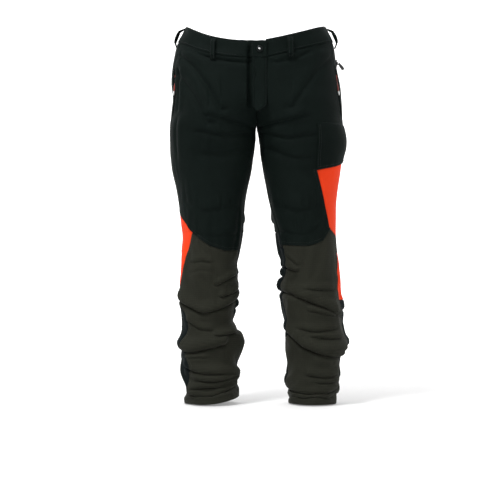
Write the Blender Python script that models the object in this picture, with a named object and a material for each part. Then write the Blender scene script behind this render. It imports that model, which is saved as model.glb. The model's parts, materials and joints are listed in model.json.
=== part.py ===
"""Chainsaw trousers: protective work trousers that stand open as they do when worn.

Metres, +Z up, the front faces -Y, the wearer's left is +X. The origin is the middle of the waist
opening, level with the top of the waistband at the sides. Every panel of fabric is a thin closed
sheet between two offsets of one smooth body surface. A place on that surface is a turn angle in
degrees round the leg (-90 front, 0 outer side, 90 back, 180 inner side) and a height.
"""

import math

import bmesh
import bpy
from mathutils import Matrix, Vector

# --- Heights ---
WAIST_DIP_FRONT = 0.048
WAIST_DIP_BACK = 0.014
WAIST_CURVE = {"left": 3.5, "right": 2.0}
WAISTBAND_HEIGHT = 0.037
CROTCH_Z = -0.2475
HEM_BAND_TOP_Z = -0.893
HEM_Z = -0.920

# --- Outline of the garment: (height, value) down the body ---
OUTER = {
    "left": [(0.02, 0.160), (0.0, 0.168), (-0.04, 0.187), (-0.09, 0.195), (-0.15, 0.204),
             (CROTCH_Z, 0.213), (-0.34, 0.207), (-0.42, 0.196), (-0.55, 0.197), (-0.70, 0.210),
             (-0.77, 0.214), (-0.85, 0.204), (-0.93, 0.195)],
    "right": [(0.02, 0.164), (0.0, 0.172), (-0.04, 0.189), (-0.09, 0.200), (-0.15, 0.206),
              (CROTCH_Z, 0.2105), (-0.34, 0.205), (-0.42, 0.188), (-0.50, 0.181), (-0.60, 0.187),
              (-0.70, 0.186), (-0.78, 0.187), (-0.86, 0.184), (-0.93, 0.170)],
}
CENTRE = {
    "left": [(0.02, 0.0), (-0.05, 0.0), (-0.08, 0.014), (-0.13, 0.042), (-0.18, 0.070),
             (-0.22, 0.0930), (CROTCH_Z, 0.1068), (-0.34, 0.1115), (-0.42, 0.1135),
             (-0.55, 0.1275), (-0.70, 0.1385), (-0.77, 0.1405), (-0.85, 0.1405), (-0.93, 0.1385)],
    "right": [(0.02, 0.0), (-0.05, 0.0), (-0.08, 0.014), (-0.13, 0.042), (-0.18, 0.070),
              (-0.22, 0.0925), (CROTCH_Z, 0.10555), (-0.34, 0.1085), (-0.42, 0.108),
              (-0.50, 0.108), (-0.60, 0.1185), (-0.70, 0.120), (-0.78, 0.1165), (-0.86, 0.116),
              (-0.93, 0.109)],
}
HALF_DEPTH = [(0.02, 0.116), (0.0, 0.117), (-0.05, 0.119), (-0.10, 0.127), (-0.15, 0.136),
              (-0.20, 0.134), (CROTCH_Z, 0.120), (-0.34, 0.098), (-0.42, 0.088), (-0.55, 0.076),
              (-0.70, 0.078), (-0.82, 0.074), (-0.93, 0.070)]
MIDDLE_Y = [(0.02, 0.0), (-0.05, 0.0), (-0.10, 0.008), (-0.15, 0.017), (-0.20, 0.016),
            (CROTCH_Z, 0.010), (-0.34, 0.006), (-0.42, 0.004), (-0.55, 0.0), (-0.70, 0.012),
            (-0.82, 0.013), (-0.93, 0.008)]
ROUNDNESS = [(0.02, 2.2), (-0.10, 2.3), (CROTCH_Z, 2.25), (-0.40, 2.1), (-0.93, 2.1)]

# --- Seams: (height, turn angle in degrees) ---
SEAM_GAP = 0.0012
SIDE_PANEL_TOP_Z = {"left": -0.300, "right": -0.425}
SIDE_PANEL_END_Z = -0.665
SIDE_SEAM = {
    "left": [(0.02, -18), (-0.10, -18), (-0.21, -20), (-0.25, 4), (-0.300, 26)],
    "right": [(0.02, -18), (-0.10, -18), (-0.21, -20), (-0.25, 4), (-0.35, 14), (-0.425, 26)],
}
SIDE_PANEL_EDGE = {
    "left": [(-0.300, 26), (-0.325, 2), (-0.340, -35), (-0.352, -71), (-0.42, -55), (-0.495, -42),
             (-0.535, -12), (-0.57, -16), (-0.63, -23), (-0.665, -20)],
    "right": [(-0.425, 26), (-0.451, 0), (-0.475, -28), (-0.500, -49), (-0.520, -44), (-0.564, -35),
              (-0.60, -30), (-0.642, -24), (-0.665, -26)],
}
CALF_PANEL_EDGE = {
    "left": [(-0.665, -20), (-0.72, -6), (-0.80, -5), (HEM_BAND_TOP_Z, -5)],
    "right": [(-0.665, -26), (-0.70, -45), (-0.73, -49), (-0.775, -34), (-0.82, -54),
              (-0.86, -44), (HEM_BAND_TOP_Z, -30)],
}
BACK_SEAM = 32
INSEAM_LEAN = {
    "left": [(CROTCH_Z, 0), (-0.40, 6), (-0.50, 28), (-0.62, 32), (-0.72, 26), (-0.93, 10)],
    "right": [(CROTCH_Z, 0), (-0.50, 6), (-0.70, 12), (-0.80, 20), (-0.93, 8)],
}
KNEE_SEAM = {
    "left": [(-180, -0.530), (-125, -0.533), (-90, -0.534), (-60, -0.522), (-42, -0.495),
             (0, -0.475), (40, -0.47)],
    "right": [(-180, -0.545), (-120, -0.546), (-90, -0.534), (-65, -0.515), (-48, -0.500),
              (0, -0.49), (40, -0.49)],
}
SEAT_END_Z = -0.500
SEAT_TURN = 0.02
HIP_LEVELS = (-0.108, -0.155, -0.198, -0.212, -0.235, CROTCH_Z)
HIP_ROWS = [2, 2, 2, 1, 1, 2]
FRONT_LEVELS = {
    "left": (-0.280, -0.300, -0.325, -0.340, -0.352),
    "right": (-0.405, -0.425, -0.451, -0.475),
}
FRONT_ROWS = {"left": [1, 1, 1, 1, 1, 5], "right": [4, 1, 1, 1, 1]}
SEAT_ROWS = {"left": [1, 1, 5], "right": [4, 1, 2]}
SOLVE_STEPS = 40
SOLVE_EASE = 0.6

# --- Fabric layers, as offsets from the body surface ---
PANEL_THICKNESS = 0.0016
BAND_LAYER = {"left": (0.0008, -0.0018), "right": (0.0004, -0.0016)}
FACING_LAYER = (-0.0038, -0.0048)
PAD_LAYER = (-0.0072, -0.0117)
LINING_LAYER = (-0.0155, -0.0163)
PAD_TOP_Z = -0.275
LINING_TOP_Z = -0.262
PAD_END_Z = -0.880
PAD_ANGLES = (-172, 24)
HEM_LAYER = (0.0, -0.0024)
POCKET_LAYER = (0.0014, 0.0)
POCKET_RISE = 0.0065
POCKET_ANGLES = (-72, 1)
POCKET_TOP_Z = -0.240
POCKET_FOOT = [(-72, -0.3515), (-35, -0.3405), (2, -0.3260)]

# --- Fly: a flat flap on a straight hinge line beside the zip ---
FLY_TOP = Vector((0.0240, -0.1222, -0.050))
FLY_FOOT = Vector((0.0240, -0.1152, -0.190))
FLAP_EDGE = -0.0090
FLAP_HINGE_GAP = 0.0008
FLAP_THICKNESS = 0.0016
FLY_SLOT = {"left": 0.0252, "right": 0.0045}
FLY_END_Z = -0.198
FLY_JOIN_Z = -0.212
ZIP_MIDDLE_X = 0.0065
FLY_ZIP_TOP = 0.040
FLY_ZIP_LENGTH = 0.108
FLY_ZIP_DEPTH = -0.0070
FLAP_TOP = -0.0370
FLAP_FOOT = -0.1515
FLAP_RISE = 0.030
FLAP_CURVE = 0.62

# --- Zips and pulls ---
COIL_WIDTH = 0.0023
COIL_HEIGHT = 0.0014
COIL_GAP = 0.0004
TAPE_THICKNESS = 0.0008
SLIDER_LENGTH = 0.0105
SLIDER_WALL = 0.0011
PIVOT_HEIGHT = 0.0030
HIP_ZIP_TOP_Z = -0.108
HIP_ZIP_END_Z = -0.210
HIP_ZIP_ANGLE = -19
HIP_SLIT = 0.0156
SLIT_RAMP = 0.012
HIP_ZIP_DEPTH = -0.0054
HIP_TAPE_REACH = 0.011
SLIDER_SETBACK = 0.0115
RUNNING_GAP = 0.0004
PULL_GAP = 0.0003
PIN_SHARE = 0.72
REAR_ZIP_Z = -0.084
REAR_ZIP_ANGLES = (6, 26, 46)
REAR_ZIP_BASE = 0.0044
REAR_TAPE_REACH = 0.0095
REAR_PULL_LEAN = 38
ZIP_CAP = [(0, 1, 2, 3), (0, 3, 4, 5)]
CLOSED_ZIP_CAP = [(0, 6, 7), (0, 1, 3, 6), (1, 2, 3), (3, 4, 5, 6)]
SLIDER_CAP = [(0, 1, 2, 9), (9, 2, 8), (2, 3, 7, 8), (3, 6, 7), (3, 4, 5, 6)]
BAG_CAP = [(7, 0, 1, 6), (6, 1, 2, 5), (5, 2, 3, 4)]

# --- Belt loops: side, turn angle, width, stand-off ---
LOOPS = {
    "front_right": ("right", -62.5, 0.012, 0.0088),
    "front_left": ("left", -69.5, 0.014, 0.0088),
    "side_right": ("right", -6, 0.012, 0.0100),
    "side_left": ("left", -6, 0.012, 0.0100),
    "back_right": ("right", 58, 0.013, 0.0088),
    "back_left": ("left", 58, 0.013, 0.0088),
    "back_centre": ("left", 90, 0.013, 0.0088),
}
LOOP_THICKNESS = 0.0015
LOOP_CLEARANCE = 0.0017
LOOP_LENGTH = 0.052
LOOP_DROP = 0.003
LOOP_STEPS = 8

# --- Colours ---
BLACK = (0.0055, 0.0085, 0.0075)
OLIVE = (0.026, 0.027, 0.020)
ORANGE = (0.76, 0.055, 0.012)
LINING_GREY = (0.05, 0.05, 0.05)
SILVER = (0.6, 0.6, 0.6)
RED = (0.5, 0.03, 0.01)
PAD_CREAM = (0.7, 0.66, 0.5)
PLASTIC_BLACK = (0.01, 0.01, 0.01)

SIDES = {"left": 1, "right": -1}
materials = {}


def clear_scene():
    for item in list(bpy.data.objects):
        bpy.data.objects.remove(item, do_unlink=True)


def material(name, colour, roughness=0.8, metallic=0.0):
    """A Principled material, made once for each name."""
    if name not in materials:
        made = bpy.data.materials.new(name)
        made.use_nodes = True
        shader = made.node_tree.nodes["Principled BSDF"]
        shader.inputs["Base Color"].default_value = (*colour, 1.0)
        shader.inputs["Roughness"].default_value = roughness
        shader.inputs["Metallic"].default_value = metallic
        materials[name] = made
    return materials[name]


def black_fabric():
    return material("black_softshell", BLACK)


def olive_fabric():
    return material("olive_ripstop", OLIVE)


def orange_fabric():
    return material("orange_softshell", ORANGE)


def lining_fabric():
    return material("grey_lining", LINING_GREY)


def pad_fabric():
    return material("pad_fibre", PAD_CREAM)


def black_plastic():
    return material("black_plastic", PLASTIC_BLACK, 0.5)


def zip_metal():
    return material("zip_metal", SILVER, 0.3, 1.0)


def add_object(name, mesh, look, matrix=None):
    made = bpy.data.objects.new(name, mesh)
    bpy.context.scene.collection.objects.link(made)
    made.data.materials.append(look)
    if matrix is not None:
        made.matrix_world = matrix
    return made


def mesh_from(name, points, faces):
    """A mesh from points and faces, with its faces turned outwards."""
    mesh = bpy.data.meshes.new(name)
    mesh.from_pydata([tuple(p) for p in points], [], faces)
    work = bmesh.new()
    work.from_mesh(mesh)
    bmesh.ops.recalc_face_normals(work, faces=work.faces)
    work.to_mesh(mesh)
    work.free()
    return mesh


# --- The body surface ---

def follow(stations, at):
    """The value at a place between stations, as a smooth cubic through them."""
    ordered = sorted(stations)
    if at <= ordered[0][0]:
        return ordered[0][1]
    if at >= ordered[-1][0]:
        return ordered[-1][1]
    k = max(i for i in range(len(ordered) - 1) if ordered[i][0] <= at)
    x0, y0 = ordered[k]
    x1, y1 = ordered[k + 1]
    before = ordered[max(k - 1, 0)]
    after = ordered[min(k + 2, len(ordered) - 1)]
    slope0 = (y1 - before[1]) / (x1 - before[0])
    slope1 = (after[1] - y0) / (after[0] - x0)
    width = x1 - x0
    t = (at - x0) / width
    return ((2 * t**3 - 3 * t**2 + 1) * y0 + (t**3 - 2 * t**2 + t) * width * slope0
            + (3 * t**2 - 2 * t**3) * y1 + (t**3 - t**2) * width * slope1)


def straight(stations, at):
    """The value at a place between stations, along straight runs."""
    ordered = sorted(stations)
    if at <= ordered[0][0]:
        return ordered[0][1]
    for (x0, y0), (x1, y1) in zip(ordered, ordered[1:]):
        if at <= x1:
            return y0 + (y1 - y0) * (at - x0) / (x1 - x0)
    return ordered[-1][1]


def section(side, z):
    """Centre x, half width, middle y, half depth and roundness of one leg's outline at a height."""
    centre = follow(CENTRE[side], z)
    return (centre, follow(OUTER[side], z) - centre, follow(MIDDLE_Y, z), follow(HALF_DEPTH, z),
            follow(ROUNDNESS, z))


def power(value, exponent):
    return math.copysign(abs(value) ** exponent, value)


def surface(side, angle, z):
    """The point on the body surface at a turn angle and height."""
    centre, half_width, middle, half_depth, roundness = section(side, z)
    turn = math.radians(angle)
    x = centre + half_width * power(math.cos(turn), 2 / roundness)
    y = middle + half_depth * power(math.sin(turn), 2 / roundness)
    return Vector((SIDES[side] * x, y, z))


def outward(side, angle, z):
    """The surface's outward direction at a turn angle and height."""
    along = surface(side, angle + 1.5, z) - surface(side, angle - 1.5, z)
    down = surface(side, angle, z - 0.004) - surface(side, angle, z + 0.004)
    return (down.cross(along) * SIDES[side]).normalized()


def angle_at(side, z, x, front):
    """The turn angle where the outline crosses a distance x from the middle plane."""
    centre, half_width, _, _, roundness = section(side, z)
    reach = (centre - x) / half_width
    if reach >= 1:
        return -180.0 if front else 180.0
    turn = 180 - math.degrees(math.acos(power(reach, roundness / 2)))
    return -turn if front else turn


def degrees_for(side, z, length):
    """The turn angle that a length along the outline takes at the side of the leg."""
    return math.degrees(length / max(section(side, z)[1], section(side, z)[3]))


def waist_top(side, angle):
    """The height of the waistband's top edge: it dips in front and a little behind."""
    if angle < 0:
        return -WAIST_DIP_FRONT * math.sin(math.radians(-angle)) ** WAIST_CURVE[side]
    return -WAIST_DIP_BACK * math.sin(math.radians(angle)) ** 2


def under_top(side, drop):
    """A line at an even distance below the waistband's top edge."""
    return lambda angle: waist_top(side, angle) - drop


def inner_edge(side, z, front, edge):
    """Where a panel ends at the middle plane, and below the crotch at the inseam."""
    turn = angle_at(side, z, edge, front)
    if z > CROTCH_Z:
        return turn
    lean = follow(INSEAM_LEAN[side], z)
    gap = degrees_for(side, z, SEAM_GAP / 2)
    return -180 + lean + gap if front else 180 + lean - gap


# --- Sheets ---

def solve_grid(side, start, end, levels, rows, columns):
    """Turn angles and heights of a grid between two side edges and a list of level curves."""
    shares = [k / columns for k in range(columns + 1)]
    grid = []
    for upper, lower, count in zip(levels, levels[1:], rows):
        first = 0 if not grid else 1
        for row in range(first, count + 1):
            t = row / count
            line = []
            for share in shares:
                z = CROTCH_Z
                for _ in range(SOLVE_STEPS):
                    angle = start(z) + (end(z) - start(z)) * share
                    target = upper(angle) + (lower(angle) - upper(angle)) * t
                    z += (target - z) * SOLVE_EASE
                line.append((angle, z))
            grid.append(line)
    return grid


def sheet(name, side, look, start, end, levels, rows, columns,
          layer=(0.0, -PANEL_THICKNESS), bulge=None):
    """A closed sheet of fabric between two offsets of the body surface."""
    grid = solve_grid(side, start, end, levels, rows, columns)
    points = []
    for offset in layer:
        for j, line in enumerate(grid):
            for i, (angle, z) in enumerate(line):
                lift = bulge(i / columns, j / (len(grid) - 1)) if bulge else 0.0
                points.append(surface(side, angle, z) + outward(side, angle, z) * (offset + lift))
    return add_object(name, mesh_from(name, points, sheet_faces(len(grid), columns + 1)), look)


def sheet_faces(lines, across):
    """Faces of two stacked grids joined round their rims."""
    half = lines * across
    faces = []
    for j in range(lines - 1):
        for i in range(across - 1):
            a = j * across + i
            faces.append((a, a + 1, a + across + 1, a + across))
            faces.append((half + a, half + a + across, half + a + across + 1, half + a + 1))
    rim = list(range(across))
    rim += [j * across + across - 1 for j in range(1, lines)]
    rim += [(lines - 1) * across + i for i in range(across - 2, -1, -1)]
    rim += [j * across for j in range(lines - 2, 0, -1)]
    for a, b in zip(rim, rim[1:] + rim[:1]):
        faces.append((b, a, half + a, half + b))
    return faces


def tube(name, side, look, heights, around, layer):
    """A closed sleeve round the whole leg between two offsets."""
    points = []
    for offset in layer:
        for z in heights:
            for k in range(around):
                angle = -180 + 360 * k / around
                flat_out = outward(side, angle, z)
                flat_out.z = 0.0
                points.append(surface(side, angle, z) + flat_out.normalized() * offset)
    faces = []
    lines = len(heights)
    half = lines * around
    for j in range(lines - 1):
        for k in range(around):
            a, b = j * around + k, j * around + (k + 1) % around
            faces.append((a, b, b + around, a + around))
            faces.append((half + a, half + a + around, half + b + around, half + b))
    for j in (0, lines - 1):
        for k in range(around):
            a, b = j * around + k, j * around + (k + 1) % around
            faces.append((a, b, half + b, half + a))
    return add_object(name, mesh_from(name, points, faces), look)


def level(z):
    return lambda angle: z


# --- Panels ---

def front_edge(side, z):
    """How far from the middle plane a front panel ends: the fly takes a slot out of both."""
    share = min(max((FLY_END_Z - z) / (FLY_END_Z - FLY_JOIN_Z), 0.0), 1.0)
    return FLY_SLOT[side] + (SEAM_GAP / 2 - FLY_SLOT[side]) * share


def slit(side, z):
    """Half the gap between front and seat panels: a seam, opened up where the hip zip sits."""
    inside = min(HIP_ZIP_TOP_Z + SLIT_RAMP - z, z - HIP_ZIP_END_Z + SLIT_RAMP) / SLIT_RAMP
    share = min(max(inside, 0.0), 1.0)
    return SEAM_GAP / 2 + (HIP_SLIT / 2 - SEAM_GAP / 2) * share


def side_line(side, z):
    """The front panel's outer edge: the side seam, then the front edge of the side panel."""
    if z > SIDE_PANEL_TOP_Z[side]:
        return follow(SIDE_SEAM[side], z)
    if z > SIDE_PANEL_END_Z:
        return straight(SIDE_PANEL_EDGE[side], z)
    return straight(CALF_PANEL_EDGE[side], z)


def panel_edge(side, z, sign):
    """The side line moved by half a seam gap, measured square to the line where it slants."""
    radius = math.radians(section(side, z)[1])
    slant = (side_line(side, z + 0.004) - side_line(side, z - 0.004)) * radius / 0.008
    return side_line(side, z) + sign * degrees_for(side, z, slit(side, z)) * math.hypot(1, slant)


def knee_line(side, shift):
    return lambda angle: straight(KNEE_SEAM[side], angle) + shift


def hip_levels(side):
    """The rows that the front and seat panels share from the waistband down to the crotch."""
    return [under_top(side, WAISTBAND_HEIGHT + SEAM_GAP)] + [level(z) for z in HIP_LEVELS]


def make_front(side):
    levels = [level(z) for z in FRONT_LEVELS[side]]
    sheet("front_" + side, side, black_fabric(),
          lambda z: inner_edge(side, z, True, front_edge(side, z)),
          lambda z: panel_edge(side, z, -1),
          hip_levels(side) + levels + [knee_line(side, SEAM_GAP / 2)], HIP_ROWS + FRONT_ROWS[side], 9)


def make_knee(side):
    marks = {"left": [-0.57, -0.63], "right": [-0.564, -0.60, -0.642]}[side]
    marks += [z for z, _ in CALF_PANEL_EDGE[side][:-1]]
    levels = [knee_line(side, -SEAM_GAP / 2)] + [level(z) for z in marks]
    sheet("knee_" + side, side, olive_fabric(),
          lambda z: inner_edge(side, z, True, 0),
          lambda z: panel_edge(side, z, -1),
          levels + [level(HEM_BAND_TOP_Z + SEAM_GAP)], [2] + [1] * len(marks), 9)


def make_seat(side):
    """Seat and back of the thigh. Its front edge is the side seam, then the side panel's back edge."""
    top = SIDE_PANEL_TOP_Z[side]

    def start(z):
        line = follow(SIDE_SEAM[side], z) if z > top else BACK_SEAM
        if top < z < top + SEAT_TURN:
            line += (BACK_SEAM - line) * (1 - (z - top) / SEAT_TURN)
        return line + degrees_for(side, z, slit(side, z))

    levels = [level(top + SEAT_TURN), level(top), level(SEAT_END_Z)]
    sheet("seat_" + side, side, black_fabric(), start,
          lambda z: inner_edge(side, z, False, SEAM_GAP / 2),
          hip_levels(side) + levels, HIP_ROWS + SEAT_ROWS[side], 9)


def make_back_leg(side):
    sheet("back_leg_" + side, side, black_fabric(),
          lambda z: BACK_SEAM + degrees_for(side, z, SEAM_GAP / 2),
          lambda z: inner_edge(side, z, False, 0),
          [level(SEAT_END_Z - SEAM_GAP), level(-0.70), level(HEM_BAND_TOP_Z + SEAM_GAP)],
          [5, 5], 8)


def make_side_strip(name, side, look, marks, shifts, columns):
    """A strip between the side line and the back seam, with a row of points at each mark."""
    sheet(name + side, side, look,
          lambda z: panel_edge(side, z, 1),
          lambda z: BACK_SEAM - degrees_for(side, z, SEAM_GAP / 2),
          [level(z + shift) for z, shift in zip(marks, shifts)], [1] * (len(marks) - 1), columns)


def make_side_panels(side):
    """The orange side panel, and the black side panel of the calf below it."""
    thigh = [z for z, _ in SIDE_PANEL_EDGE[side]]
    calf = [z for z, _ in CALF_PANEL_EDGE[side]]
    make_side_strip("side_", side, orange_fabric(), thigh, [-SEAM_GAP] + [0] * (len(thigh) - 1), 5)
    make_side_strip("side_calf_", side, black_fabric(), calf,
                    [-SEAM_GAP] + [0] * (len(calf) - 2) + [SEAM_GAP], 4)


def make_leg(side):
    make_front(side)
    make_knee(side)
    make_seat(side)
    make_back_leg(side)
    make_side_panels(side)
    tube("hem_" + side, side, olive_fabric(), (HEM_BAND_TOP_Z, HEM_Z), 24, HEM_LAYER)
    heights = [LINING_TOP_Z + (PAD_END_Z - LINING_TOP_Z) * k / 8 for k in range(9)]
    tube("lining_" + side, side, lining_fabric(), heights, 18, LINING_LAYER)
    sheet("saw_pad_" + side, side, pad_fabric(), lambda z: PAD_ANGLES[0], lambda z: PAD_ANGLES[1],
          [level(PAD_TOP_Z), level(PAD_END_Z)], [9], 8, PAD_LAYER)


# --- Waistband ---

def make_waistband():
    for side, reach in (("left", FLY_TOP.x + SEAM_GAP), ("right", -0.0185)):
        sheet("waistband_" + side, side, black_fabric(),
              lambda z, side=side, reach=reach: front_angle(side, z, reach),
              lambda z: 1.88,
              [under_top(side, 0), under_top(side, WAISTBAND_HEIGHT)], [2], 10, BAND_LAYER[side])
    back_strip("waistband_back", black_fabric(), 2.12, BAND_LAYER["left"], 20, 0.0)
    back_strip("waistband_elastic", black_fabric(), 20, FACING_LAYER, 16, 0.004)
    for side, reach in (("left", 0.045), ("right", 0.028)):
        sheet("waistband_facing_" + side, side, lining_fabric(),
              lambda z, side=side, reach=reach: front_angle(side, z, reach),
              lambda z: 19,
              [under_top(side, 0.003), under_top(side, WAISTBAND_HEIGHT - 0.003)], [1], 9,
              FACING_LAYER)


def front_angle(side, z, reach):
    """The front turn angle at a signed distance from the middle plane, negative past it."""
    centre, half_width, _, _, roundness = section(side, z)
    share = max((reach - centre) / half_width, -1.0)
    return -90 + math.degrees(math.asin(power(share, roundness / 2)))


def back_strip(name, look, angle, layer, columns, trim):
    """A strip of waistband that runs round the back from one side to the other."""
    points = []
    spots = [("left", angle + (90 - angle) * k / (columns / 2)) for k in range(columns // 2 + 1)]
    spots += [("right", spot) for _, spot in reversed(spots[:-1])]
    for offset in layer:
        for drop in (trim, WAISTBAND_HEIGHT / 2, WAISTBAND_HEIGHT - trim):
            for side, turn in spots:
                z = waist_top(side, turn) - drop
                points.append(surface(side, turn, z) + outward(side, turn, z) * offset)
    add_object(name, mesh_from(name, points, sheet_faces(3, len(spots))), look)


def make_belt_loop(name, side, angle, width, stand_off):
    """A strap that stands off the waistband between its two sewn ends."""
    middle_z = waist_top(side, angle) - LOOP_DROP - LOOP_LENGTH / 2
    frame = local_frame(surface(side, angle, middle_z), outward(side, angle, middle_z))
    reach = []
    for k in range(LOOP_STEPS + 1):
        share = k / LOOP_STEPS
        z = (0.5 - share) * LOOP_LENGTH
        skin = frame.inverted() @ surface(side, angle, middle_z + z)
        lift = min(1.0, 1.6 * math.sin(math.pi * share))
        reach.append((skin.y + LOOP_CLEARANCE + (stand_off - LOOP_CLEARANCE) * lift, z))
    outline = reach + [(y + LOOP_THICKNESS, z) for y, z in reversed(reach)]
    last = len(outline) - 1
    caps = [(k, k + 1, last - k - 1, last - k) for k in range(LOOP_STEPS)]
    ends = [[(x, y, z) for y, z in outline] for x in (-width / 2, width / 2)]
    prism("belt_loop_" + name, ends, caps, black_fabric(), frame)


# --- Simple solids in a local frame ---

def local_frame(origin, normal, up=Vector((0, 0, 1))):
    """A frame whose Y points out of the fabric and whose Z points up along it."""
    y = normal.normalized()
    z = (up - y * up.dot(y)).normalized()
    return frame_of(y.cross(z), y, z, origin)


def frame_of(x, y, z, origin):
    rows = [(x[i], y[i], z[i], origin[i]) for i in range(3)]
    return Matrix(rows + [(0, 0, 0, 1)])


def prism(name, rings, caps, look, frame=None, turns=None):
    """A closed solid through equal rings of points, with the cap faces at both of its ends.

    Where the sides twist, turns says which diagonal splits each of them, so that walls stay even.
    """
    count = len(rings[0])
    points = [point for line in rings for point in line]
    faces = []
    for j in range(len(rings) - 1):
        for k in range(count):
            a = j * count + k
            b = j * count + (k + 1) % count
            side = [a, b, b + count, a + count]
            if turns is None:
                faces.append(side)
            else:
                side = side[turns[k]:] + side[:turns[k]]
                faces += [side[:3], [side[0], *side[2:]]]
    for base in (0, len(points) - count):
        faces += [tuple(base + corner for corner in cap) for cap in caps]
    return add_object(name, mesh_from(name, points, faces), look, frame)


def block(name, low, high, look, frame, bevel):
    """A box between two corners of a local frame, with bevelled edges."""
    ends = [[(x, low[1], z), (x, high[1], z)] for x, z in ((low[0], low[2]), (high[0], low[2]))]
    ends = [low_edge + [(x, high[1], high[2]), (x, low[1], high[2])]
            for low_edge, x in zip(ends, (low[0], high[0]))]
    made = prism(name, ends, [(0, 1, 2, 3)], look, frame)
    modifier = made.modifiers.new("Bevel", "BEVEL")
    modifier.width = bevel
    modifier.segments = 2


def disc(name, radius, low, high, look, frame, hole=0.0):
    """A round plate about local Y between two depths, with an optional blind hole from below."""
    segments = 20
    rise = high - low
    profile = [(0, high), (radius * 0.8, high), (radius, high - rise * 0.4), (radius, low)]
    if hole:
        profile += [(hole, low), (hole, low + rise * 0.6), (0, low + rise * 0.6)]
    else:
        profile.append((0, low))
    points, faces, rings = [], [], []
    for r, y in profile:
        steps = segments if r else 1
        rings.append(list(range(len(points), len(points) + steps)))
        for k in range(steps):
            turn = 2 * math.pi * k / segments
            points.append((r * math.cos(turn), y, r * math.sin(turn)))
    for first, second in zip(rings, rings[1:]):
        for k in range(segments):
            n = (k + 1) % segments
            quad = [first[k % len(first)], first[n % len(first)]]
            quad += [second[n % len(second)], second[k % len(second)]]
            faces.append(tuple(dict.fromkeys(quad)))
    add_object(name, mesh_from(name, points, faces), look, frame)


# --- Fly ---

def fly_frame():
    """X across to the wearer's right, Y out of the fabric, Z up along the hinge line."""
    up = (FLY_TOP - FLY_FOOT).normalized()
    out = Vector((1, 0, 0)).cross(up)
    return frame_of(out.cross(up), out, up, FLY_TOP)


def across(x):
    """The fly frame's X of a world x."""
    return FLY_TOP.x - x


def make_fly():
    frame = fly_frame()
    make_flap(frame)
    hinge = across(FLY_TOP.x - FLAP_HINGE_GAP)
    block("waistband_tab", (hinge, 0.0014, -0.0355), (across(-0.0125), 0.0034, 0.0010),
          black_fabric(), frame, 0.0004)
    block("fly_shield", (across(0.0215), -0.0130, -0.128), (across(-0.012), -0.0118, -0.037),
          black_fabric(), frame, 0.0003)
    snap = frame @ Matrix.Translation((across(0.0068), 0, -0.0175))
    disc("snap_cap", 0.0075, 0.0037, 0.0054, zip_metal(), snap)
    disc("snap_socket", 0.0055, -0.0006, 0.0011, zip_metal(), snap, hole=0.0034)
    disc("snap_stud", 0.0026, -0.0012, -0.0003, zip_metal(), snap)
    disc("snap_post", 0.0050, -0.0060, -0.0046, zip_metal(), snap)
    zip_line = frame @ Matrix.Translation((across(ZIP_MIDDLE_X), FLY_ZIP_DEPTH, -FLY_ZIP_TOP))
    strand("fly_zip_left", zip_line, -COIL_GAP / 2, -0.0125)
    strand("fly_zip_right", zip_line, COIL_GAP / 2, 0.0095)
    block("fly_zip_stop", (-0.0032, 0.0002, -0.1130), (0.0032, 0.0024, -0.1100), zip_metal(),
          zip_line, 0.0004)
    seat = zip_line @ Matrix.Translation((0, 0, -SLIDER_LENGTH))
    slider("fly", seat)
    back = slider_back() + PULL_GAP
    block("fly_pull", (-0.0022, back, -0.0140), (0.0022, back + 0.0009, 0.0060), zip_metal(),
          seat, 0.0003)


def make_flap(frame):
    """The fly flap: a flat facing with a straight free edge and a rounded J at its foot."""
    hinge, width = across(FLY_TOP.x - FLAP_HINGE_GAP), FLY_TOP.x - FLAP_HINGE_GAP - FLAP_EDGE
    outline = [(hinge, FLAP_TOP)]
    for k in range(6):
        turn = math.pi / 2 * k / 6
        outline.append((hinge + width * FLAP_CURVE * (1 - math.cos(turn)),
                        FLAP_FOOT + FLAP_RISE * (1 - math.sin(turn))))
    outline += [(hinge + width * 0.66, FLAP_FOOT), (hinge + width, FLAP_FOOT), (hinge + width, FLAP_TOP)]
    faces = [[(x, y, z) for x, z in outline] for y in (0.0, FLAP_THICKNESS)]
    prism("fly_flap", faces, [range(len(outline))], black_fabric(), frame)


# --- Zips ---

def strand(name, frame, start, outer):
    """One side of a zip: a woven tape with the coil standing on its inner edge."""
    coil = start + math.copysign(COIL_WIDTH, outer)
    top = TAPE_THICKNESS + COIL_HEIGHT
    outline = [(start, 0), (outer, 0), (outer, TAPE_THICKNESS), (coil, TAPE_THICKNESS), (coil, top),
               (start, top)]
    ends = [[(x, y, z) for x, y in outline] for z in (0.0, -FLY_ZIP_LENGTH)]
    prism(name, ends, ZIP_CAP, black_plastic(), frame)


def closed_zip(name, frame, length, reach):
    """Both sides of a closed zip in one: a tape with the meshed coil standing along its middle."""
    coil, face = COIL_WIDTH + COIL_GAP / 2, TAPE_THICKNESS
    outline = [(-reach, 0), (reach, 0), (reach, face), (coil, face), (coil, face + COIL_HEIGHT),
               (-coil, face + COIL_HEIGHT), (-coil, face), (-reach, face)]
    ends = [[(x, y, z) for x, y in outline] for z in (0.0, length)]
    prism(name, ends, CLOSED_ZIP_CAP, black_plastic(), frame)


def slider_outline():
    """Cross-section of a slider: a channel that rides over the coil with a running gap."""
    inside = COIL_WIDTH + COIL_GAP / 2 + RUNNING_GAP
    outside = inside + SLIDER_WALL
    foot = TAPE_THICKNESS + RUNNING_GAP
    roof = TAPE_THICKNESS + COIL_HEIGHT + RUNNING_GAP
    shoulder = roof + SLIDER_WALL * 0.5
    crown = outside * 0.6
    return [(-outside, foot), (-inside, foot), (-inside, roof), (inside, roof), (inside, foot),
            (outside, foot), (outside, shoulder), (crown, slider_back()), (-crown, slider_back()),
            (-outside, shoulder)]


def slider_back():
    """The height of a slider's back over the zip's tape plane."""
    return TAPE_THICKNESS + COIL_HEIGHT + RUNNING_GAP + SLIDER_WALL


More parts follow.
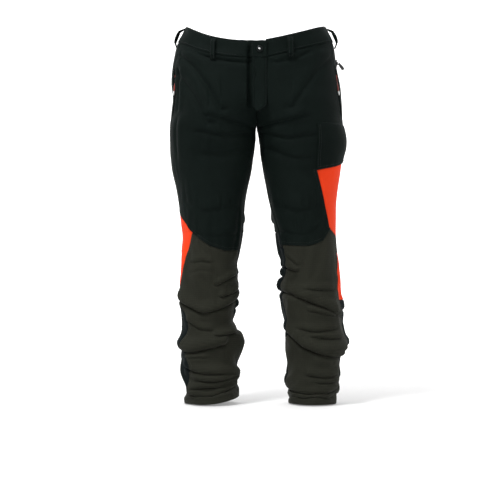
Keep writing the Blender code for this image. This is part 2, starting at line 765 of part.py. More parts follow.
def slider(name, frame):
    """A channel that wraps the coil from outside."""
    ends = [[(x, y, z) for x, y in slider_outline()] for z in (0.0, SLIDER_LENGTH)]
    prism(name + "_slider", ends, SLIDER_CAP, zip_metal(), frame)


def pin_height():
    return slider_back() + PULL_GAP + PIVOT_HEIGHT


def pull(name, frame, tape, tape_width, tip):
    """A pull that hangs from a pin over the slider's back: a woven tape and a moulded tip."""
    pivot = frame @ Matrix.Translation((0, pin_height(), SLIDER_LENGTH * PIN_SHARE))
    anchor = bpy.data.objects.new(name + "_axis", None)
    bpy.context.scene.collection.objects.link(anchor)
    anchor.matrix_world = pivot
    block(name + "_tape", (-tape_width / 2, -0.0007, -tape), (tape_width / 2, 0.0007, 0.0016),
          material("red_tape", RED), pivot, 0.0005)
    block(name + "_tip", (-tip[0] / 2, -0.0012, -tape - tip[1]),
          (tip[0] / 2, 0.0012, -tape - PULL_GAP), zip_metal(), pivot, 0.0005)
    bpy.context.view_layer.update()
    for suffix in ("_tape", "_tip"):
        item = bpy.data.objects[name + suffix]
        kept = item.matrix_world.copy()
        item.parent = anchor
        item.matrix_world = kept


def hip_zip_frame(side):
    """The straight line of a hip zip: origin at its foot, Y out of the fabric, Z up along it."""
    top = surface(side, HIP_ZIP_ANGLE, HIP_ZIP_TOP_Z)
    foot = surface(side, HIP_ZIP_ANGLE - 1, HIP_ZIP_END_Z)
    normal = outward(side, HIP_ZIP_ANGLE, (HIP_ZIP_TOP_Z + HIP_ZIP_END_Z) / 2)
    frame = local_frame(foot, normal, (top - foot).normalized())
    return frame @ Matrix.Translation((0, HIP_ZIP_DEPTH, 0)), (top - foot).length


def make_hip_zip(side):
    frame, length = hip_zip_frame(side)
    closed_zip("hip_zip_" + side, frame, length, HIP_TAPE_REACH)
    seat = frame @ Matrix.Translation((0, 0, length - SLIDER_LENGTH - SLIDER_SETBACK))
    slider("hip_" + side, seat)
    pull("hip_pull_" + side, seat, 0.036, 0.0062, (0.0068, 0.0115))


def make_pocket_bag(name, side, start, end, top, foot, layer):
    """A flat pocket bag behind a panel: two walls joined at three edges, open along its front."""
    rows = 4
    near, far = layer
    wall = 0.0007
    fold = -0.012
    loop = [(near, 1.0), (near, 0.0), (far, 0.0), (far, 1.0), (far - wall, 1.0), (far - wall, fold),
            (near + wall, fold), (near + wall, 1.0)]
    rings = []
    for j in range(rows + 1):
        z = top + (foot - top) * j / rows
        line = []
        for offset, share in loop:
            mouth, closed = [surface(side, angle, z) + outward(side, angle, z) * offset
                             for angle in (start, end)]
            line.append(closed + (mouth - closed) * share)
        rings.append(line)
    prism(name, rings, BAG_CAP, lining_fabric(), turns=[0, 0, 0, 0, 1, 0, 1, 0])


# --- Rear pocket zip, which curves round the hip ---

def rear_arc():
    """Centre and radius of the level arc that the rear zip follows over the seat."""
    a, b, c = [surface("left", angle, REAR_ZIP_Z).xy for angle in REAR_ZIP_ANGLES]
    twice_area = 2 * (a.x * (b.y - c.y) + b.x * (c.y - a.y) + c.x * (a.y - b.y))
    squares = [spot.length_squared for spot in (a, b, c)]
    x = squares[0] * (b.y - c.y) + squares[1] * (c.y - a.y) + squares[2] * (a.y - b.y)
    y = squares[0] * (c.x - b.x) + squares[1] * (a.x - c.x) + squares[2] * (b.x - a.x)
    centre = Vector((x, y)) / twice_area
    return centre, (a - centre).length


def rear_turn(angle):
    centre, _ = rear_arc()
    spot = surface("left", angle, REAR_ZIP_Z).xy - centre
    return math.atan2(spot.y, spot.x)


def arc_strip(name, outline, start, end, steps, caps):
    """An outline of (radius offset, height) pairs swept along the rear zip's arc."""
    centre, radius = rear_arc()
    rings = []
    for k in range(steps + 1):
        turn = start + (end - start) * k / steps
        rings.append([((radius + r) * math.cos(turn), (radius + r) * math.sin(turn), z)
                      for r, z in outline])
    prism(name, rings, caps, black_plastic(), Matrix.Translation((*centre, REAR_ZIP_Z)))


def make_rear_pocket():
    start, end = rear_turn(REAR_ZIP_ANGLES[0]), rear_turn(REAR_ZIP_ANGLES[-1])
    face = REAR_ZIP_BASE + TAPE_THICKNESS
    for name, sign in (("rear_zip_upper", 1), ("rear_zip_lower", -1)):
        gap = sign * COIL_GAP / 2
        coil = gap + sign * COIL_WIDTH
        outline = [(REAR_ZIP_BASE, gap), (REAR_ZIP_BASE, sign * REAR_TAPE_REACH),
                   (face, sign * REAR_TAPE_REACH), (face, coil), (face + COIL_HEIGHT, coil),
                   (face + COIL_HEIGHT, gap)]
        arc_strip(name, outline, start, end, 14, ZIP_CAP)
    centre, radius = rear_arc()
    half = SLIDER_LENGTH / 2 / radius
    place = start + half + 0.012
    outline = [(REAR_ZIP_BASE + y, x) for x, y in slider_outline()]
    arc_strip("rear_slider", outline, place - half, place + half, 3, SLIDER_CAP)
    reach = radius + REAR_ZIP_BASE + pin_height() + PULL_GAP
    out = Vector((math.cos(place), math.sin(place), 0.0))
    hinge = Vector((*centre, REAR_ZIP_Z)) + out * reach
    lean = local_frame(hinge, out) @ Matrix.Rotation(math.radians(REAR_PULL_LEAN), 4, "X")
    block("rear_pull", (-0.0035, -0.0008, -0.0210), (0.0035, 0.0008, 0.0016), black_plastic(),
          lean, 0.0005)


def make_thigh_pocket():
    """A patch pocket on the left thigh: it stands off the front panel in its middle."""
    def bulge(along, down):
        return 0.0008 + POCKET_RISE * (math.sin(math.pi * along) * math.sin(math.pi * down)) ** 0.7

    sheet("thigh_pocket_left", "left", black_fabric(), lambda z: POCKET_ANGLES[0],
          lambda z: POCKET_ANGLES[1], [level(POCKET_TOP_Z), lambda a: straight(POCKET_FOOT, a)], [7], 7,
          POCKET_LAYER, bulge)


def main():
    clear_scene()
    for side in SIDES:
        make_leg(side)
        make_hip_zip(side)
        make_pocket_bag("hip_pocket_bag_" + side, side, -28, -66, -0.100, -0.225, (-0.0064, -0.0125))
    make_waistband()
    for name, loop in LOOPS.items():
        make_belt_loop(name, *loop)
    make_fly()
    make_rear_pocket()
    make_pocket_bag("rear_pocket_bag", "left", 12, 52, -0.095, -0.205, (-0.0065, -0.0115))
    make_thigh_pocket()


main()
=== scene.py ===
"""Looks for the chainsaw trousers: every fabric panel as folded, seamed cloth round the CAD frame.

Metres, +Z up, the front faces -Y, the wearer's left is +X. A place on a leg is a turn angle in
degrees (-90 front, 0 outer side, 90 back, 180 inner side) and a height, as in the CAD model.
"""

import json
import math

import bmesh
import bpy
import numpy as np
from mathutils import Matrix, Vector


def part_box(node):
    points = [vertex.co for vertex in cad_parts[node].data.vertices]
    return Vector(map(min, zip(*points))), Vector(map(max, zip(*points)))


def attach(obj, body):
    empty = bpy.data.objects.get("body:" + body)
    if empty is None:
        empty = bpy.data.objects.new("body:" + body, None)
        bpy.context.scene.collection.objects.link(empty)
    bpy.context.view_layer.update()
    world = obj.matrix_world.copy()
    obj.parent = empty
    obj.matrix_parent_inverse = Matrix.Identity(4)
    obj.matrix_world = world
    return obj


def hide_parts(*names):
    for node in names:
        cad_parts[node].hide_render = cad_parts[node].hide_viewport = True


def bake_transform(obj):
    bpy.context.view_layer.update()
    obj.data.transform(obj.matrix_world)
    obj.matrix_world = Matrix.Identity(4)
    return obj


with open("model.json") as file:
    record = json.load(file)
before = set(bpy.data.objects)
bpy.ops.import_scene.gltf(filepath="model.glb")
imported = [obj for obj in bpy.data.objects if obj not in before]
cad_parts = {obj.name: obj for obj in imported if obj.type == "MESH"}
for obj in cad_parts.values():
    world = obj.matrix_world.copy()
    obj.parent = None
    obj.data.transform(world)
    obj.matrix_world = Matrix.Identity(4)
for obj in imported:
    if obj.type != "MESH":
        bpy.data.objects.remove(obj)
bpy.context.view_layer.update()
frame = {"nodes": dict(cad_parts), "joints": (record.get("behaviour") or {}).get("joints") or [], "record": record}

# --- The body surface, on the CAD model's own stations: (height, value) ---
CROTCH_Z = -0.2475
HEM_BAND_TOP_Z = -0.893
HEM_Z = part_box("hem_left")[0].z
WAISTBAND_HEIGHT = 0.037
SEAM_GAP = 0.0012
OUTER = {
    "left": [(0.02, 0.160), (0.0, 0.168), (-0.04, 0.187), (-0.09, 0.195), (-0.15, 0.204),
             (CROTCH_Z, 0.213), (-0.34, 0.207), (-0.42, 0.196), (-0.55, 0.197), (-0.70, 0.210),
             (-0.77, 0.214), (-0.85, 0.204), (-0.93, 0.195)],
    "right": [(0.02, 0.164), (0.0, 0.172), (-0.04, 0.189), (-0.09, 0.200), (-0.15, 0.206),
              (CROTCH_Z, 0.2105), (-0.34, 0.205), (-0.42, 0.188), (-0.50, 0.181), (-0.60, 0.187),
              (-0.70, 0.186), (-0.78, 0.187), (-0.86, 0.184), (-0.93, 0.170)],
}
CENTRE = {
    "left": [(0.02, 0.0), (-0.05, 0.0), (-0.08, 0.014), (-0.13, 0.042), (-0.18, 0.070),
             (-0.22, 0.0930), (CROTCH_Z, 0.1068), (-0.34, 0.1115), (-0.42, 0.1135),
             (-0.55, 0.1275), (-0.70, 0.1385), (-0.77, 0.1405), (-0.85, 0.1405), (-0.93, 0.1385)],
    "right": [(0.02, 0.0), (-0.05, 0.0), (-0.08, 0.014), (-0.13, 0.042), (-0.18, 0.070),
              (-0.22, 0.0925), (CROTCH_Z, 0.10555), (-0.34, 0.1085), (-0.42, 0.108),
              (-0.50, 0.108), (-0.60, 0.1185), (-0.70, 0.120), (-0.78, 0.1165), (-0.86, 0.116),
              (-0.93, 0.109)],
}
HALF_DEPTH = [(0.02, 0.116), (0.0, 0.117), (-0.05, 0.119), (-0.10, 0.127), (-0.15, 0.136),
              (-0.20, 0.134), (CROTCH_Z, 0.120), (-0.34, 0.098), (-0.42, 0.088), (-0.55, 0.076),
              (-0.70, 0.078), (-0.82, 0.074), (-0.93, 0.070)]
MIDDLE_Y = [(0.02, 0.0), (-0.05, 0.0), (-0.10, 0.008), (-0.15, 0.017), (-0.20, 0.016),
            (CROTCH_Z, 0.010), (-0.34, 0.006), (-0.42, 0.004), (-0.55, 0.0), (-0.70, 0.012),
            (-0.82, 0.013), (-0.93, 0.008)]
ROUNDNESS = [(0.02, 2.2), (-0.10, 2.3), (CROTCH_Z, 2.25), (-0.40, 2.1), (-0.93, 2.1)]
WAIST_DIP_FRONT = 0.048
WAIST_DIP_BACK = 0.014

# --- Seams: (height, turn angle) ---
SIDE_PANEL_TOP_Z = {"left": -0.300, "right": -0.425}
SIDE_PANEL_END_Z = -0.665
SIDE_SEAM = {
    "left": [(0.02, -18), (-0.10, -18), (-0.21, -20), (-0.25, 4), (-0.300, 26)],
    "right": [(0.02, -18), (-0.10, -18), (-0.21, -20), (-0.25, 4), (-0.35, 14), (-0.425, 26)],
}
SIDE_PANEL_EDGE = {
    "left": [(-0.300, 26), (-0.325, 2), (-0.340, -35), (-0.352, -71), (-0.42, -55), (-0.490, -42),
             (-0.500, -30), (-0.520, 4), (-0.550, 5), (-0.565, -14), (-0.60, -27), (-0.64, -28),
             (-0.665, -20)],
    "right": [(-0.425, 26), (-0.451, 0), (-0.475, -28), (-0.500, -49), (-0.520, -44),
              (-0.564, -35), (-0.60, -30), (-0.642, -24), (-0.665, -26)],
}
CALF_PANEL_EDGE = {
    "left": [(-0.665, -20), (-0.72, -6), (-0.80, -5), (HEM_BAND_TOP_Z, -5)],
    "right": [(-0.665, -26), (-0.70, -45), (-0.73, -49), (-0.775, -34), (-0.82, -54),
              (-0.86, -44), (HEM_BAND_TOP_Z, -30)],
}
BACK_SEAM = 32
SEAT_TURN = 0.02
SEAT_END_Z = -0.500
INSEAM_LEAN = {
    "left": [(CROTCH_Z, 0), (-0.40, 6), (-0.50, 28), (-0.595, 30), (-0.625, 12), (-0.655, 12),
             (-0.70, 26), (-0.745, 24), (-0.79, 10), (-0.93, 8)],
    "right": [(CROTCH_Z, 0), (-0.50, 6), (-0.70, 10), (-0.735, 1), (-0.79, 1), (-0.83, 10), (-0.93, 8)],
}
KNEE_SEAM = {
    "left": [(-180, -0.530), (-125, -0.533), (-90, -0.534), (-60, -0.522), (-42, -0.495),
             (0, -0.475), (40, -0.47)],
    "right": [(-180, -0.545), (-120, -0.546), (-90, -0.534), (-65, -0.515), (-48, -0.500),
              (0, -0.49), (40, -0.49)],
}
HIP_ZIP_TOP_Z = -0.108
HIP_ZIP_END_Z = -0.210
HIP_SLIT = 0.0130
SLIT_RAMP = 0.012
FLY_SLOT = {"left": 0.0240, "right": 0.0045}
FLY_END_Z = -0.198
FLY_JOIN_Z = -0.212

# --- Fullness: how far the silhouette stands off the plain surface (height, offset) ---
FULL_OUTER = {
    "left": [(-0.10, 0), (-0.16, 0.003), (-0.23, -0.001), (-0.275, 0.006), (-0.32, 0.002),
             (-0.44, -0.001), (-0.52, -0.002), (-0.575, 0.002), (-0.608, 0.006), (-0.64, 0.002),
             (-0.686, 0.004), (-0.72, 0), (-0.745, 0.005), (-0.768, 0.013), (-0.785, 0.009),
             (-0.804, -0.001), (-0.823, -0.005), (-0.85, 0.002), (-0.90, -0.002)],
    "right": [(-0.02, 0.001), (-0.04, 0.004), (-0.13, 0.004), (-0.18, -0.002), (-0.275, 0.003),
              (-0.48, 0.002), (-0.519, -0.005), (-0.549, 0), (-0.578, -0.002), (-0.657, 0.005),
              (-0.706, 0.002), (-0.732, -0.005), (-0.764, 0.004), (-0.79, 0), (-0.843, 0.001),
              (-0.882, -0.006), (-0.91, 0)],
}
FULL_INNER = {
    "left": [(-0.26, 0.002), (-0.48, 0.002), (-0.549, 0.004), (-0.578, -0.005), (-0.608, 0.001),
             (-0.630, 0.000), (-0.66, 0.007), (-0.69, 0.007), (-0.725, -0.004), (-0.784, -0.002),
             (-0.815, -0.005), (-0.843, 0), (-0.862, 0.007), (-0.885, 0.003), (-0.91, 0.002)],
    "right": [(-0.26, 0.004), (-0.32, 0.003), (-0.44, 0.001), (-0.50, 0.004), (-0.55, 0.001),
              (-0.578, -0.004), (-0.608, 0.004), (-0.68, 0.003), (-0.706, -0.002),
              (-0.727, -0.007), (-0.746, 0.012), (-0.764, 0.018), (-0.784, 0.012),
              (-0.804, 0.006), (-0.823, 0), (-0.845, 0.006), (-0.865, 0.001), (-0.91, 0.003)],
}

# --- Folds of the lower legs: points (distance from the middle plane, height), width, height ---
LEG_FOLDS = {
    "right": [
        ([(0.153, -0.573), (0.134, -0.570), (0.114, -0.573)], 0.006, 0.003),
        ([(0.155, -0.597), (0.136, -0.592), (0.112, -0.594)], 0.007, 0.002),
        ([(0.093, -0.628), (0.066, -0.611), (0.040, -0.597)], 0.007, 0.005),
        ([(0.083, -0.657), (0.066, -0.650), (0.045, -0.633)], 0.007, 0.005),
        ([(0.179, -0.664), (0.158, -0.681), (0.131, -0.694), (0.098, -0.686), (0.054, -0.659)],
         0.010, 0.008),
        ([(0.160, -0.717), (0.136, -0.734), (0.112, -0.738)], 0.008, 0.004),
        ([(0.093, -0.750), (0.069, -0.746), (0.040, -0.736)], 0.007, 0.007),
        ([(0.186, -0.784), (0.160, -0.788), (0.143, -0.786), (0.112, -0.778), (0.085, -0.771)],
         0.012, 0.010),
        ([(0.165, -0.803), (0.146, -0.801), (0.122, -0.801)], 0.006, 0.003),
        ([(0.170, -0.827), (0.141, -0.837), (0.112, -0.841), (0.052, -0.842)], 0.008, 0.006),
        ([(0.146, -0.854), (0.098, -0.857), (0.052, -0.849)], 0.007, 0.005),
        ([(0.155, -0.877), (0.136, -0.875), (0.102, -0.875)], 0.006, 0.004),
        ([(0.166, -0.891), (0.141, -0.896), (0.114, -0.897), (0.083, -0.891), (0.052, -0.880)],
         0.006, 0.004),
    ],
    "left": [
        ([(0.066, -0.537), (0.075, -0.558), (0.095, -0.580)], 0.007, 0.003),
        ([(0.062, -0.585), (0.072, -0.586), (0.092, -0.594)], 0.007, 0.005),
        ([(0.121, -0.639), (0.147, -0.641), (0.179, -0.640)], 0.007, 0.004),
        ([(0.064, -0.641), (0.083, -0.647), (0.111, -0.657), (0.147, -0.674), (0.191, -0.695)],
         0.011, 0.009),
        ([(0.135, -0.690), (0.174, -0.700), (0.206, -0.705)], 0.007, 0.004),
        ([(0.102, -0.734), (0.143, -0.741), (0.183, -0.736)], 0.007, 0.004),
        ([(0.143, -0.755), (0.171, -0.758), (0.203, -0.758)], 0.006, 0.004),
        ([(0.070, -0.739), (0.087, -0.753), (0.111, -0.772), (0.133, -0.783), (0.162, -0.794),
          (0.203, -0.801)], 0.012, 0.010),
        ([(0.116, -0.772), (0.157, -0.784), (0.208, -0.786)], 0.007, 0.004),
        ([(0.126, -0.845), (0.164, -0.849), (0.198, -0.844)], 0.008, 0.005),
        ([(0.152, -0.861), (0.195, -0.861)], 0.006, 0.004),
        ([(0.083, -0.883), (0.104, -0.886), (0.138, -0.887), (0.192, -0.883)], 0.007, 0.004),
        ([(0.092, -0.899), (0.179, -0.901)], 0.005, 0.003),
    ],
}
# Drag lines of the hips and thighs, on the front: world x and height, width, height
HIP_FOLDS = [
    ([(-0.178, -0.075), (-0.145, -0.110), (-0.110, -0.165), (-0.085, -0.210)], 0.014, 0.0040),
    ([(-0.186, -0.120), (-0.150, -0.175), (-0.115, -0.240)], 0.016, 0.0034),
    ([(-0.165, -0.058), (-0.120, -0.082), (-0.070, -0.094), (-0.025, -0.098)], 0.010, 0.0034),
    ([(-0.110, -0.222), (-0.060, -0.236), (-0.012, -0.246)], 0.009, 0.0030),
    ([(-0.130, -0.262), (-0.080, -0.270), (-0.025, -0.262)], 0.011, 0.0028),
    ([(-0.125, -0.316), (-0.080, -0.318), (-0.030, -0.300)], 0.014, 0.0022),
    ([(0.012, -0.246), (0.060, -0.238), (0.110, -0.226)], 0.009, 0.0030),
    ([(0.020, -0.262), (0.070, -0.276), (0.125, -0.270)], 0.011, 0.0028),
    ([(0.030, -0.300), (0.080, -0.322), (0.120, -0.326)], 0.014, 0.0022),
    ([(0.050, -0.098), (0.100, -0.084), (0.150, -0.056)], 0.010, 0.0024),
    ([(0.085, -0.205), (0.115, -0.160), (0.150, -0.110), (0.180, -0.080)], 0.014, 0.0024),
    ([(-0.170, -0.430), (-0.120, -0.452), (-0.060, -0.440)], 0.016, 0.0024),
    ([(0.050, -0.438), (0.100, -0.452), (0.150, -0.440)], 0.016, 0.0024),
    ([(-0.160, -0.500), (-0.110, -0.512), (-0.060, -0.505)], 0.010, 0.0022),
    ([(0.070, -0.500), (0.110, -0.508), (0.150, -0.490)], 0.010, 0.0022),
]
# Folds of the back: turn angles and heights
SEAT_FOLDS = [
    ([(40, -0.262), (90, -0.280), (150, -0.262)], 0.014, 0.0055),
    ([(60, -0.300), (100, -0.310), (160, -0.290)], 0.013, 0.0035),
    ([(30, -0.455), (80, -0.470), (140, -0.452)], 0.012, 0.0050),
    ([(50, -0.486), (95, -0.496), (165, -0.480)], 0.012, 0.0060),
    ([(20, -0.520), (75, -0.534), (150, -0.520)], 0.012, 0.0055),
]
BACK_FOLDS_PER_LEG = 10
FOLD_FADE = 16
HIP_FOLD_FADE = 0.03
HEM_RISE = 0.016

# --- Cloth ---
CLOTH_STEP = 0.0030
THICKNESS = 0.0013
LAP = 0.0065
MEAN_RADIUS = 0.085
RIM_ROUNDING = 0.42
SIM_ROWS = 116
SIM_COLUMNS = 84
SIM_TOP_Z = -0.272
SIM_FRAMES = 34
SIM_SLACK = 1.075
SIM_REACH = 0.0035
CLOTH = {"quality": 6, "mass": 0.25, "tension_stiffness": 25, "compression_stiffness": 25,
         "shear_stiffness": 6, "bending_stiffness": 0.9, "air_damping": 2.0, "pin_stiffness": 0.6}
SLOW_COLUMNS = 6
SLOW_ROWS = 5

SIDES = {"left": 1, "right": -1}


# --- Curves through stations ---

def smooth(stations):
    """A function that follows the stations as a cubic, the same one as in the CAD model."""
    ordered = sorted(stations)
    xs = np.array([p[0] for p in ordered], float)
    ys = np.array([p[1] for p in ordered], float)
    slopes = np.empty_like(ys)
    for k in range(len(xs)):
        a, b = max(k - 1, 0), min(k + 1, len(xs) - 1)
        slopes[k] = (ys[b] - ys[a]) / (xs[b] - xs[a])

    def at(x):
        x = np.clip(np.asarray(x, float), xs[0], xs[-1])
        k = np.clip(np.searchsorted(xs, x, side="right") - 1, 0, len(xs) - 2)
        width = xs[k + 1] - xs[k]
        t = (x - xs[k]) / width
        return ((2 * t**3 - 3 * t**2 + 1) * ys[k] + (t**3 - 2 * t**2 + t) * width * slopes[k]
                + (3 * t**2 - 2 * t**3) * ys[k + 1] + (t**3 - t**2) * width * slopes[k + 1])

    return at


def straight(stations):
    ordered = sorted(stations)
    xs, ys = [p[0] for p in ordered], [p[1] for p in ordered]
    return lambda x: np.interp(x, xs, ys)


def both(curve, stations):
    """The two legs' curves from their stations."""
    return {side: curve(stations[side]) for side in SIDES}


def level(z):
    return lambda angle: z + 0 * np.asarray(angle, float)


def fixed(angle):
    return lambda z: angle + 0 * np.asarray(z, float)


def step_up(value, low, high):
    """0 below low, 1 above high, and a smooth rise between."""
    t = np.clip((value - low) / (high - low), 0, 1)
    return t * t * (3 - 2 * t)


def power(value, exponent):
    return np.sign(value) * np.abs(value) ** exponent


outer_line = both(smooth, OUTER)
centre_line = both(smooth, CENTRE)
full_outer = both(smooth, FULL_OUTER)
full_inner = both(smooth, FULL_INNER)
half_depth, middle_y, roundness = smooth(HALF_DEPTH), smooth(MIDDLE_Y), smooth(ROUNDNESS)


def half_width(side, z):
    return outer_line[side](z) - centre_line[side](z)


def surface(side, angle, z):
    """Points of the plain CAD surface."""
    angle, z = np.broadcast_arrays(np.asarray(angle, float), np.asarray(z, float))
    turn = np.radians(angle)
    r = 2 / roundness(z)
    x = centre_line[side](z) + half_width(side, z) * power(np.cos(turn), r)
    y = middle_y(z) + half_depth(z) * power(np.sin(turn), r)
    return np.stack([SIDES[side] * x, y, z], -1)


def unit(vectors):
    return vectors / np.maximum(np.linalg.norm(vectors, axis=-1, keepdims=True), 1e-12)


def outward(side, angle, z):
    along = surface(side, angle + 1.5, z) - surface(side, angle - 1.5, z)
    down = surface(side, angle, z - 0.004) - surface(side, angle, z + 0.004)
    return unit(np.cross(down, along) * SIDES[side])


def angle_at(side, z, x, front):
    """The turn angle where the outline crosses a distance x from the middle plane."""
    reach = (centre_line[side](z) - x) / half_width(side, z)
    turn = 180 - np.degrees(np.arccos(np.clip(power(np.minimum(reach, 1), roundness(z) / 2), -1, 1)))
    turn = np.where(reach >= 1, 180.0, turn)
    return -turn if front else turn


def degrees_for(side, z, length):
    return np.degrees(length / np.maximum(half_width(side, z), half_depth(z)))


def waist_top(side, angle):
    """Height of the waistband's top edge: it dips in front and a little behind."""
    angle = np.asarray(angle, float)
    swing = np.abs(np.sin(np.radians(angle)))
    even = 1 - np.abs(np.cos(np.radians(angle)))
    front = 0.8 * even + 0.2 * swing**2 if side == "left" else swing**2
    return np.where(angle < 0, -WAIST_DIP_FRONT * front, -WAIST_DIP_BACK * swing**2)


def under_top(side, drop):
    """A line at an even distance below the waistband's top edge."""
    return lambda angle: waist_top(side, angle) - drop


def front_turn(side, x, z):
    """The turn angle of a point of the front at a distance from the middle plane."""
    share = (x - centre_line[side](z)) / half_width(side, z)
    return -math.degrees(math.acos(float(np.clip(power(share, roundness(z) / 2), -0.999, 0.999))))


def crease(d, width):
    """A fold's profile: a crease with the cloth rolled over it, and a lower roll under it."""
    return (1.15 * np.exp(-(((d / width - 1.15) / 1.1) ** 2)) - 1.15 * np.exp(-((d / (0.46 * width)) ** 2))
            + 0.45 * np.exp(-((d / width + 1.3) ** 2)))


def fold(points, width, height, at, fade, step, metres, z):
    """Outward and downward shift of one fold, which is a line of heights over a coordinate.

    The fold fades out past its ends. A step of the coordinate is this many metres along the cloth.
    """
    line = smooth(points)
    xs = sorted(p[0] for p in points)
    middle = (xs[0] + xs[-1]) / 2
    reach = xs[-1] - middle
    inside = 1 - np.clip((np.abs(at - middle) - reach) / fade, 0, 1)
    ramp = inside * inside * (3 - 2 * inside)
    ramp = ramp * (0.65 + 0.35 * np.cos((at - middle) / (reach + fade) * 1.4))
    slope = (line(at + step) - line(at - step)) / (2 * metres)
    d = (z - line(at)) / np.sqrt(1 + slope**2)
    out = height * ramp * crease(d, width)
    droop = -0.85 * height * ramp * np.exp(-((d / width - 0.55) ** 2) * 2.2)
    return out, droop


def back_folds(side):
    """Bunching folds round the back and sides of the lower leg, on turn angles."""
    rng = np.random.default_rng(11 if side == "left" else 23)
    found = []
    for k in range(BACK_FOLDS_PER_LEG):
        z = -0.565 - 0.0335 * k + rng.uniform(-0.006, 0.006)
        middle = 90 + rng.uniform(-45, 45)
        span = rng.uniform(38, 75)
        tilt = rng.uniform(-0.018, 0.018)
        sag = rng.uniform(-0.012, 0.004)
        points = [(middle - span, z - tilt), (middle, z + sag), (middle + span, z + tilt)]
        found.append((points, rng.uniform(0.008, 0.012), rng.uniform(0.005, 0.0085)))
    return found


def turned_folds(side):
    found = [([(front_turn(side, x, z), z) for x, z in points], width, height)
             for points, width, height in LEG_FOLDS[side]]
    return found + SEAT_FOLDS + back_folds(side)


leg_folds = {side: turned_folds(side) for side in SIDES}


def soft_waves(side, angle, z):
    """Slow unevenness of worn cloth, the same at both ends of the turn."""
    turn = np.radians(angle)
    shift = 0.7 if side == "left" else 2.1
    lower = step_up(-z, 0.45, 0.62)
    waves = (np.sin(3 * turn + 31 * z + shift) * np.sin(47 * z + 2 * shift + turn)
             + 0.6 * np.sin(5 * turn - 63 * z + 3 * shift) + 0.4 * np.sin(2 * turn + 118 * z))
    upper = step_up(-z, 0.03, 0.30)
    return waves * (0.0002 + 0.0006 * upper + 0.0008 * lower)


def fold_shift(side, angle, z):
    """Outward and downward shift of all folds at places on a leg."""
    out = soft_waves(side, angle, z)
    down = np.zeros_like(out)
    for points, width, height in leg_folds[side]:
        xs = [p[0] for p in points]
        middle = (min(xs) + max(xs)) / 2
        near = middle + (angle - middle + 180) % 360 - 180
        a, b = fold(points, width, height, near, FOLD_FADE, 1.0, 0.0015, z)
        out, down = out + a, down + b
    plain = surface(side, angle, z)
    facing = step_up(-np.sin(np.radians(angle)), 0.15, 0.55)
    for points, width, height in HIP_FOLDS:
        a, b = fold(points, width, height, plain[..., 0], HIP_FOLD_FADE, 0.001, 0.001, z)
        out, down = out + a * facing, down + b * facing
    if side == "right":
        out = out + grooves(angle, plain)
    loose = step_up(-z, 0.05, 0.075)
    return out * loose, down * loose


def grooves(angle, plain):
    """Upright hollows of the right side: beside the flap's free edge, and at the pocket's mouth."""
    x, z = plain[..., 0], plain[..., 2]
    front = (angle < -40) & (angle > -140)
    fly = step_up(-z, 0.036, 0.060) * (1 - step_up(-z, 0.190, 0.210)) * front
    mouth = step_up(-z, 0.098, 0.115) * (1 - step_up(-z, 0.200, 0.216))
    below = step_up(-z, 0.215, 0.240) * (1 - step_up(-z, 0.300, 0.345))
    lean = -31 + (z + 0.16) * 40
    return (-0.0095 * fly * np.exp(-(((x + 0.0155) / 0.0064) ** 4))
            + mouth * (0.0026 * np.exp(-(((angle - lean + 6) / 4.5) ** 2))
                       - 0.0042 * np.exp(-(((angle - lean) / 2.6) ** 2)))
            + below * (0.0020 * np.exp(-(((angle + 44) / 6) ** 2))
                       - 0.0030 * np.exp(-(((angle + 35) / 3.5) ** 2))))


def hem_rise(side, angle, z):
    """The right hem rides up on the inner side."""
    if side == "left":
        return 0 * z
    inner = (1 - np.cos(np.radians(angle))) / 2
    return HEM_RISE * inner**3 * np.exp(-((z - HEM_Z) / 0.05))


settled = {}


def shape(side, angle, z, lift=0.0):
    """Points of the dressed cloth: the plain surface, its fullness, its folds and its settling."""
    angle, z = np.broadcast_arrays(np.asarray(angle, float), np.asarray(z, float))
    points = surface(side, angle, z)
    normal = outward(side, angle, z)
    out, down = fold_shift(side, angle, z)
    across = np.cos(np.radians(angle))
    below = step_up(-z, -CROTCH_Z, -CROTCH_Z + 0.03)
    wide = np.where(across > 0, across**2 * full_outer[side](z),
                    -(across**2) * full_inner[side](z) * below)
    points = points + normal * (out + lift)[..., None]
    points[..., 0] += SIDES[side] * wide
    points[..., 2] += down + hem_rise(side, angle, z)
    if side in settled:
        points = points + sampled(settled[side], angle, z)
    return points


def sampled(field, angle, z):
    """Bilinear reading of a field over turn angle and height, closed round the leg."""
    rows, columns = field.shape[:2]
    u = (angle + 180) / 360 * columns
    v = np.clip((SIM_TOP_Z - z) / (SIM_TOP_Z - HEM_Z) * (rows - 1), 0, rows - 1.001)
    fade = step_up(SIM_TOP_Z - z, 0.0, 0.05)
    i, j = np.floor(u).astype(int), np.floor(v).astype(int)
    fu, fv = (u - i)[..., None], (v - j)[..., None]
    a, b = i % columns, (i + 1) % columns
    top = field[j, a] * (1 - fu) + field[j, b] * fu
    low = field[j + 1, a] * (1 - fu) + field[j + 1, b] * fu
    return (top * (1 - fv) + low * fv) * fade[..., None]


def blurred(field):
    """The slow part of a field over turn angle and height."""
    for _ in range(3):
        ring = np.concatenate([field[:, -SLOW_COLUMNS:], field, field[:, :SLOW_COLUMNS]], axis=1)
        field = np.mean([ring[:, k:k + field.shape[1]] for k in range(2 * SLOW_COLUMNS + 1)], axis=0)
        tall = np.concatenate([field[:1]] * SLOW_ROWS + [field] + [field[-1:]] * SLOW_ROWS)
        field = np.mean([tall[k:k + len(field)] for k in range(2 * SLOW_ROWS + 1)], axis=0)
    return field


